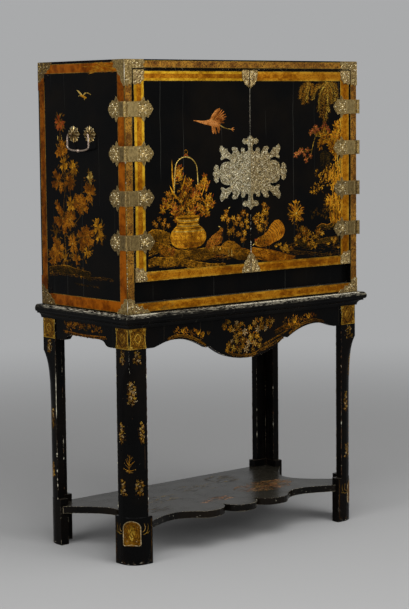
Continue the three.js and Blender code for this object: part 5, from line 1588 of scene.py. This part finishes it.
def lightBarrels():   # a painted highlight down each barrel, whiter on the upper hinges, in three lengths that stay with their own leaf
    joint = [v.co.z / mm for v in nodes["hinge_left_1_door_leaf"].data.vertices
        if v.co.x / mm < -barrel["across"] - 1]
    half = (max(joint) - min(joint)) / 2
    out, end = barrel["radius"] * barrel["out"], barrel["end"]
    for name, hand in sides:
        spot = hand * (barrel["across"] + out), barrel["front"] - out * barrel["ahead"]
        ends, middles = [], []
        for z in hingeLevels:
            highlight = "whitePolish" if z > hingeWork["litAbove"] else "brightPin"
            for low, high in ((z + half + 2, z + end), (z - end, z - half - 2)):
                ends.append(upright(*spot, low, high, 1, (19 - half, 20 - half), 0.7, highlight))
            middles.append(upright(*spot, z - 0.5, z + 0.5, 1, (half * 2 - 3, half * 2 - 2), 0.7, highlight))
        laidChips("barrel_light_case_" + name, "cabinet", ends)
        laidChips("barrel_light_door_" + name, name + "_door", middles)


def roundel(sheet, centre, far):
    for i in range(8):
        angle = pi * i / 4 + 0.39
        sheet.arc(away(centre, angle, 2.5), away(centre, angle, far), 0, 4, far * 0.5, "chasedBrass", "petal",
            0.7)
    for i in range(4):
        angle = pi / 2 * i + pi / 4
        # the pins round the roundel and its heart are near-white, painted glints
        sheet.dot(away(centre, angle, far * 0.62), far * 0.13, "japannedStand", 0.95, 6)
        sheet.dot(away(centre, angle, far * 1.18), 1.8, "brightPin", 1.2, 8)
    sheet.dot(centre, 2.4, "brightPin", 1.6, 9)


def workHinges():
    leafFront = min(v.co.y for v in nodes["hinge_left_1_door_leaf"].data.vertices if v.co.x / mm > -460) / mm
    leafSide = min(v.co.x for v in nodes["hinge_left_1_case_leaf"].data.vertices if v.co.y / mm > -190) / mm
    half, middle = hingeWork["half"], hingeWork["side"]
    for name, hand in sides:
        doorSheet = GoldSheet(f"hinge_work_{name}_door", name + "_door", flatFace(1, leafFront, -1))
        sideSheet = GoldSheet(f"hinge_work_{name}_side", "cabinet", flatFace(0, -hand * leafSide, hand))
        for z in hingeLevels:
            low, high = sorted(hand * u for u in hingeWork["strap"])
            doorSheet.panel((low, z - half), (high, z + half),
                "strapBrass" if z > hingeWork["litAbove"] else "shadedStrap", 0.25)
            for u in (low, high):
                doorSheet.stroke([(u, z - half), (u, z + half)], 1.6, "chasedBrass", "band", 0.6)
            roundel(doorSheet, (hand * hingeWork["roundel"], z), hingeWork["reach"])
            # pin heads in near-white: painted glints
            for dz in (-hingeWork["pinLevel"], hingeWork["pinLevel"]):
                for u, share, radius in hingeWork["pins"]:
                    doorSheet.dot((hand * u, z + dz * share), radius, "brightPin", 1.2, 8)
                start, end = [(hand * u, z + dz * share) for u, share in hingeWork["curl"]]
                doorSheet.arc(start, end, 0.25, 5, 3.2, "chasedBrass", "leaf", 0.6)
            doorSheet.dot((hand * hingeWork["tip"], z), 1.8, "brightPin", 1.2, 8)
            front, back = hingeWork["sideStrap"]
            sideSheet.panel((front, z - half), (back, z + half), "shadedStrap", 0.25)
            roundel(sideSheet, (middle, z), hingeWork["sideReach"])
            # the near-white pins on the side leaf are painted glints
            for du, dv in ((22, 0), (14, 14), (14, -14), (27, 9), (27, -9), (-6, 17), (-6, -17)):
                sideSheet.dot((middle + du, z + dv), 1.7, "brightPin" if abs(dv) > 8 else "japannedStand",
                    1.2, 8)
            for lean in (-0.9, -0.45, 0, 0.45, 0.9):
                start = away((middle, z), lean, 11)
                sideSheet.arc(start, away(start, lean, 14), 0.1, 4, 4.2, "chasedBrass", "petal", 0.6)
        doorSheet.lay()
        sideSheet.lay()


def plateTest(node, front):   # tells whether a place lies on a plate's front
    mesh = nodes[node].data
    faces = [[(mesh.vertices[i].co.x / mm, mesh.vertices[i].co.z / mm) for i in face.vertices]
        for face in mesh.polygons if face.normal.y < -0.99 and abs(face.center.y / mm - front) < 0.05]

    def within(u, v):
        for ring in faces:
            turns = 0
            for i, (ua, va) in enumerate(ring):
                ub, vb = ring[(i + 1) % len(ring)]
                if (va > v) != (vb > v) and u < ua + (ub - ua) * (v - va) / (vb - va):
                    turns += 1
            if turns % 2:
                return True
        return False

    return within


def placeOn(low, high):
    return between(low[0], high[0]), between(low[2], high[2])


def roomFor(within, spot, clear):
    return all(within(*away(spot, pi / 2 * k, clear)) for k in range(4))


plateWork = {"lockLeaves": 620, "lockTries": 2400, "lockPins": 16, "keyhole": (52, 1195),
    "mountLeafTries": 260, "mountPins": 7, "mountPinTries": 400}


def workLockPlate():   # leafwork in relief: bright leaves over a dark, sunk ground
    for name, plain in (("left", "silveredBrass"), ("right", "rubbedSilver")):
        low, high = corners("lock_plate_" + name)
        within = plateTest("lock_plate_" + name, low[1])
        sheet = GoldSheet("lock_plate_work_" + name, name + "_door", flatFace(1, low[1], -1), sunk=0.15)
        # the near-white leaves among these are painted glints
        tones = ("brightPin", "japannedStand", plain, "brownedWood", "chasedBrass", "japannedStand")
        keyU, keyV = plateWork["keyhole"]
        laid = pins = 0
        for _ in range(plateWork["lockTries"]):
            u, v = placeOn(low, high)
            tip = away((u, v), between(0, 6.28), between(4, 9))
            atKey = abs(u - keyU) < 9 and abs(v - keyV) < 14
            if laid < plateWork["lockLeaves"] and within(u, v) and within(*tip) and not atKey:
                sheet.arc((u, v), tip, between(-0.35, 0.35), 4, between(1.3, 2.6),
                    tones[laid % len(tones)], "leaf", between(0.25, 0.55))
                laid += 1
        # pins in near-white: painted glints
        while pins < plateWork["lockPins"]:
            spot = placeOn(low, high)
            if roomFor(within, spot, 3.5):
                sheet.dot(spot, 1.7, "brightPin", 1.2, 8)
                pins += 1
        sheet.lay()


def workMounts():
    for node in sorted(n for n in nodes if n.startswith(("case_mount", "door_mount"))):
        low, high = corners(node)
        onDoor = "left_door" if node.endswith("left") else "right_door"
        sheet = GoldSheet("pins_" + node, "cabinet" if node.startswith("case") else onDoor,
            flatFace(1, low[1], -1))
        within = plateTest(node, low[1])
        pins = 0
        # pins in near-white: painted glints
        for _ in range(plateWork["mountPinTries"]):
            spot = placeOn(low, high)
            if pins < plateWork["mountPins"] and roomFor(within, spot, 4):
                sheet.dot(spot, 1.7, "brightPin", 1.1, 8)
                pins += 1
        for _ in range(plateWork["mountLeafTries"]):
            spot = placeOn(low, high)
            tip = away(spot, between(0, 6.28), between(5, 11))
            if within(*spot) and within(*tip):
                sheet.arc(spot, tip, between(-0.35, 0.35), 4, between(1.2, 2.4),
                    chance.choice(("chasedBrass", "brownedWood", "strapBrass")), "leaf", 0.35)
        if node.startswith("door") and abs(high[0] - meetingLeft) < 3:   # the gap's shadow
            sheet.stroke([(high[0] - 1.2, low[2] + 1), (high[0] - 1.2, high[2] - 1)], 2.6, "japannedStand",
                "band", 0.6)
        sheet.lay()


rearMount = [(0, 0), (78, 0), (68, 9), (66, 18), (52, 22), (50, 33), (36, 36), (34, 47), (20, 50), (14, 60),
    (5, 66), (0, 62)]   # its outline from the case's corner


def layRearMounts():
    for name, face in (("left", leftFace), ("right", rightFace)):
        sheet = GoldSheet("rear_mounts_" + name, "cabinet", face)
        for level, turn, edge in ((floorTop + 0.4, 1, caseBase + 1), (ceiling - 0.4, -1, caseTop - 1)):
            inner = caseBack - bands["case"]["behind"] - bands["case"]["rear"]
            for side, wide, tall in ((inner, caseBack - 0.5 - inner, 60),
                    (caseBack - 64, 62, 4.6 if turn > 0 else 8)):
                ends = sorted((level - turn, level + turn * tall))
                sheet.panel((side, ends[0]), (side + wide, ends[1]),
                    "borderRed" if tall < 60 else "borderDeep", 1.75)
            sheet.fill([(caseBack - 0.5 - a, edge + turn * b) for a, b in rearMount], "darkenedBrass", 2,
                slope=0.03)
            # the near-white dots among these are painted glints
            for _ in range(90):
                a, b = between(2, 72), between(2, 62)
                if a / 76 + b / 66 < 0.98 and (turn < 0 or a / 76 + b / 66 > 0.62):
                    sheet.dot((caseBack - 0.5 - a, edge + turn * b), between(1.2, 2.2),
                        chance.choice(("paleGold", "brightPin", "japannedStand")), 3, 6)
        sheet.lay()


rosette = {"eye": 13, "ease": 9, "lobed": 0.07, "broader": 0.14, "lower": 0.17, "wide": 30, "tall": 25}


def workRosettes():   # lobed flowers, a little broader than high, round the eye of each handle
    for node in sorted(n for n in nodes if n.startswith("rosette_")):
        hand = -1 if "left" in node else 1
        low, high = corners(node)
        heart = (low[1] + high[1]) / 2, (low[2] + high[2]) / 2
        mesh = nodes[node].data.copy()
        plane = 0
        for vert in mesh.vertices:
            y, z = vert.co.y / mm - heart[0], vert.co.z / mm - heart[1]
            far = hypot(y, z)
            share = min(max((far - rosette["eye"]) / rosette["ease"], 0), 1)
            lobes = 1 + rosette["lobed"] * share * cos(8 * atan2(z, y))
            vert.co.y = (heart[0] + y * (1 + rosette["broader"] * share) * lobes) * mm
            vert.co.z = (heart[1] + z * (1 - rosette["lower"] * share) * lobes) * mm
            if far > rosette["eye"]:
                plane = max(plane, abs(vert.co.x) / mm)
        mesh.materials.clear()
        mesh.materials.append(finishes["darkenedBrass"])
        piece = newObject("flower_" + node, mesh)
        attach(piece, "cabinet")
        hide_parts(node)
        sheet = GoldSheet("work_" + node, "cabinet", flatFace(0, hand * plane, hand), sunk=1.2)
        for i in range(8):
            angle = pi / 2 + i * pi / 4
            far = 1 / hypot(cos(angle) / rosette["wide"], sin(angle) / rosette["tall"])
            # upper petals take the lighter brass and a near-white stripe, a painted highlight; lower ones a
            # darker brass and a brown stripe, a painted shade; the tip pins are painted glints
            root, litUpper = away(heart, angle, 9), sin(angle) > -0.3
            sheet.arc(root, away(heart, angle, far), 0.1, 5, 9, "handledBrass" if litUpper else "chasedBrass",
                "petal", 1.6)
            sheet.stroke([root, away(heart, angle, far * 0.8)], 2, "brightPin" if litUpper else "brownedWood",
                "stem", 2.1)
            sheet.dot(away(heart, angle + 0.39, 15), 2.6, "japannedStand", 1.9, 6)
            sheet.dot(away(heart, angle + 0.39, far * 0.86), 1.7, "brightPin", 1.6, 6)
        sheet.lay()


chipStandTop()
chipLegs()
chipTier()
chipDoorEdge()
chipCorners()
lightBarrels()
workRosettes()
workHinges()
workLockPlate()
workMounts()
layRearMounts()
print("wear and brass work laid")
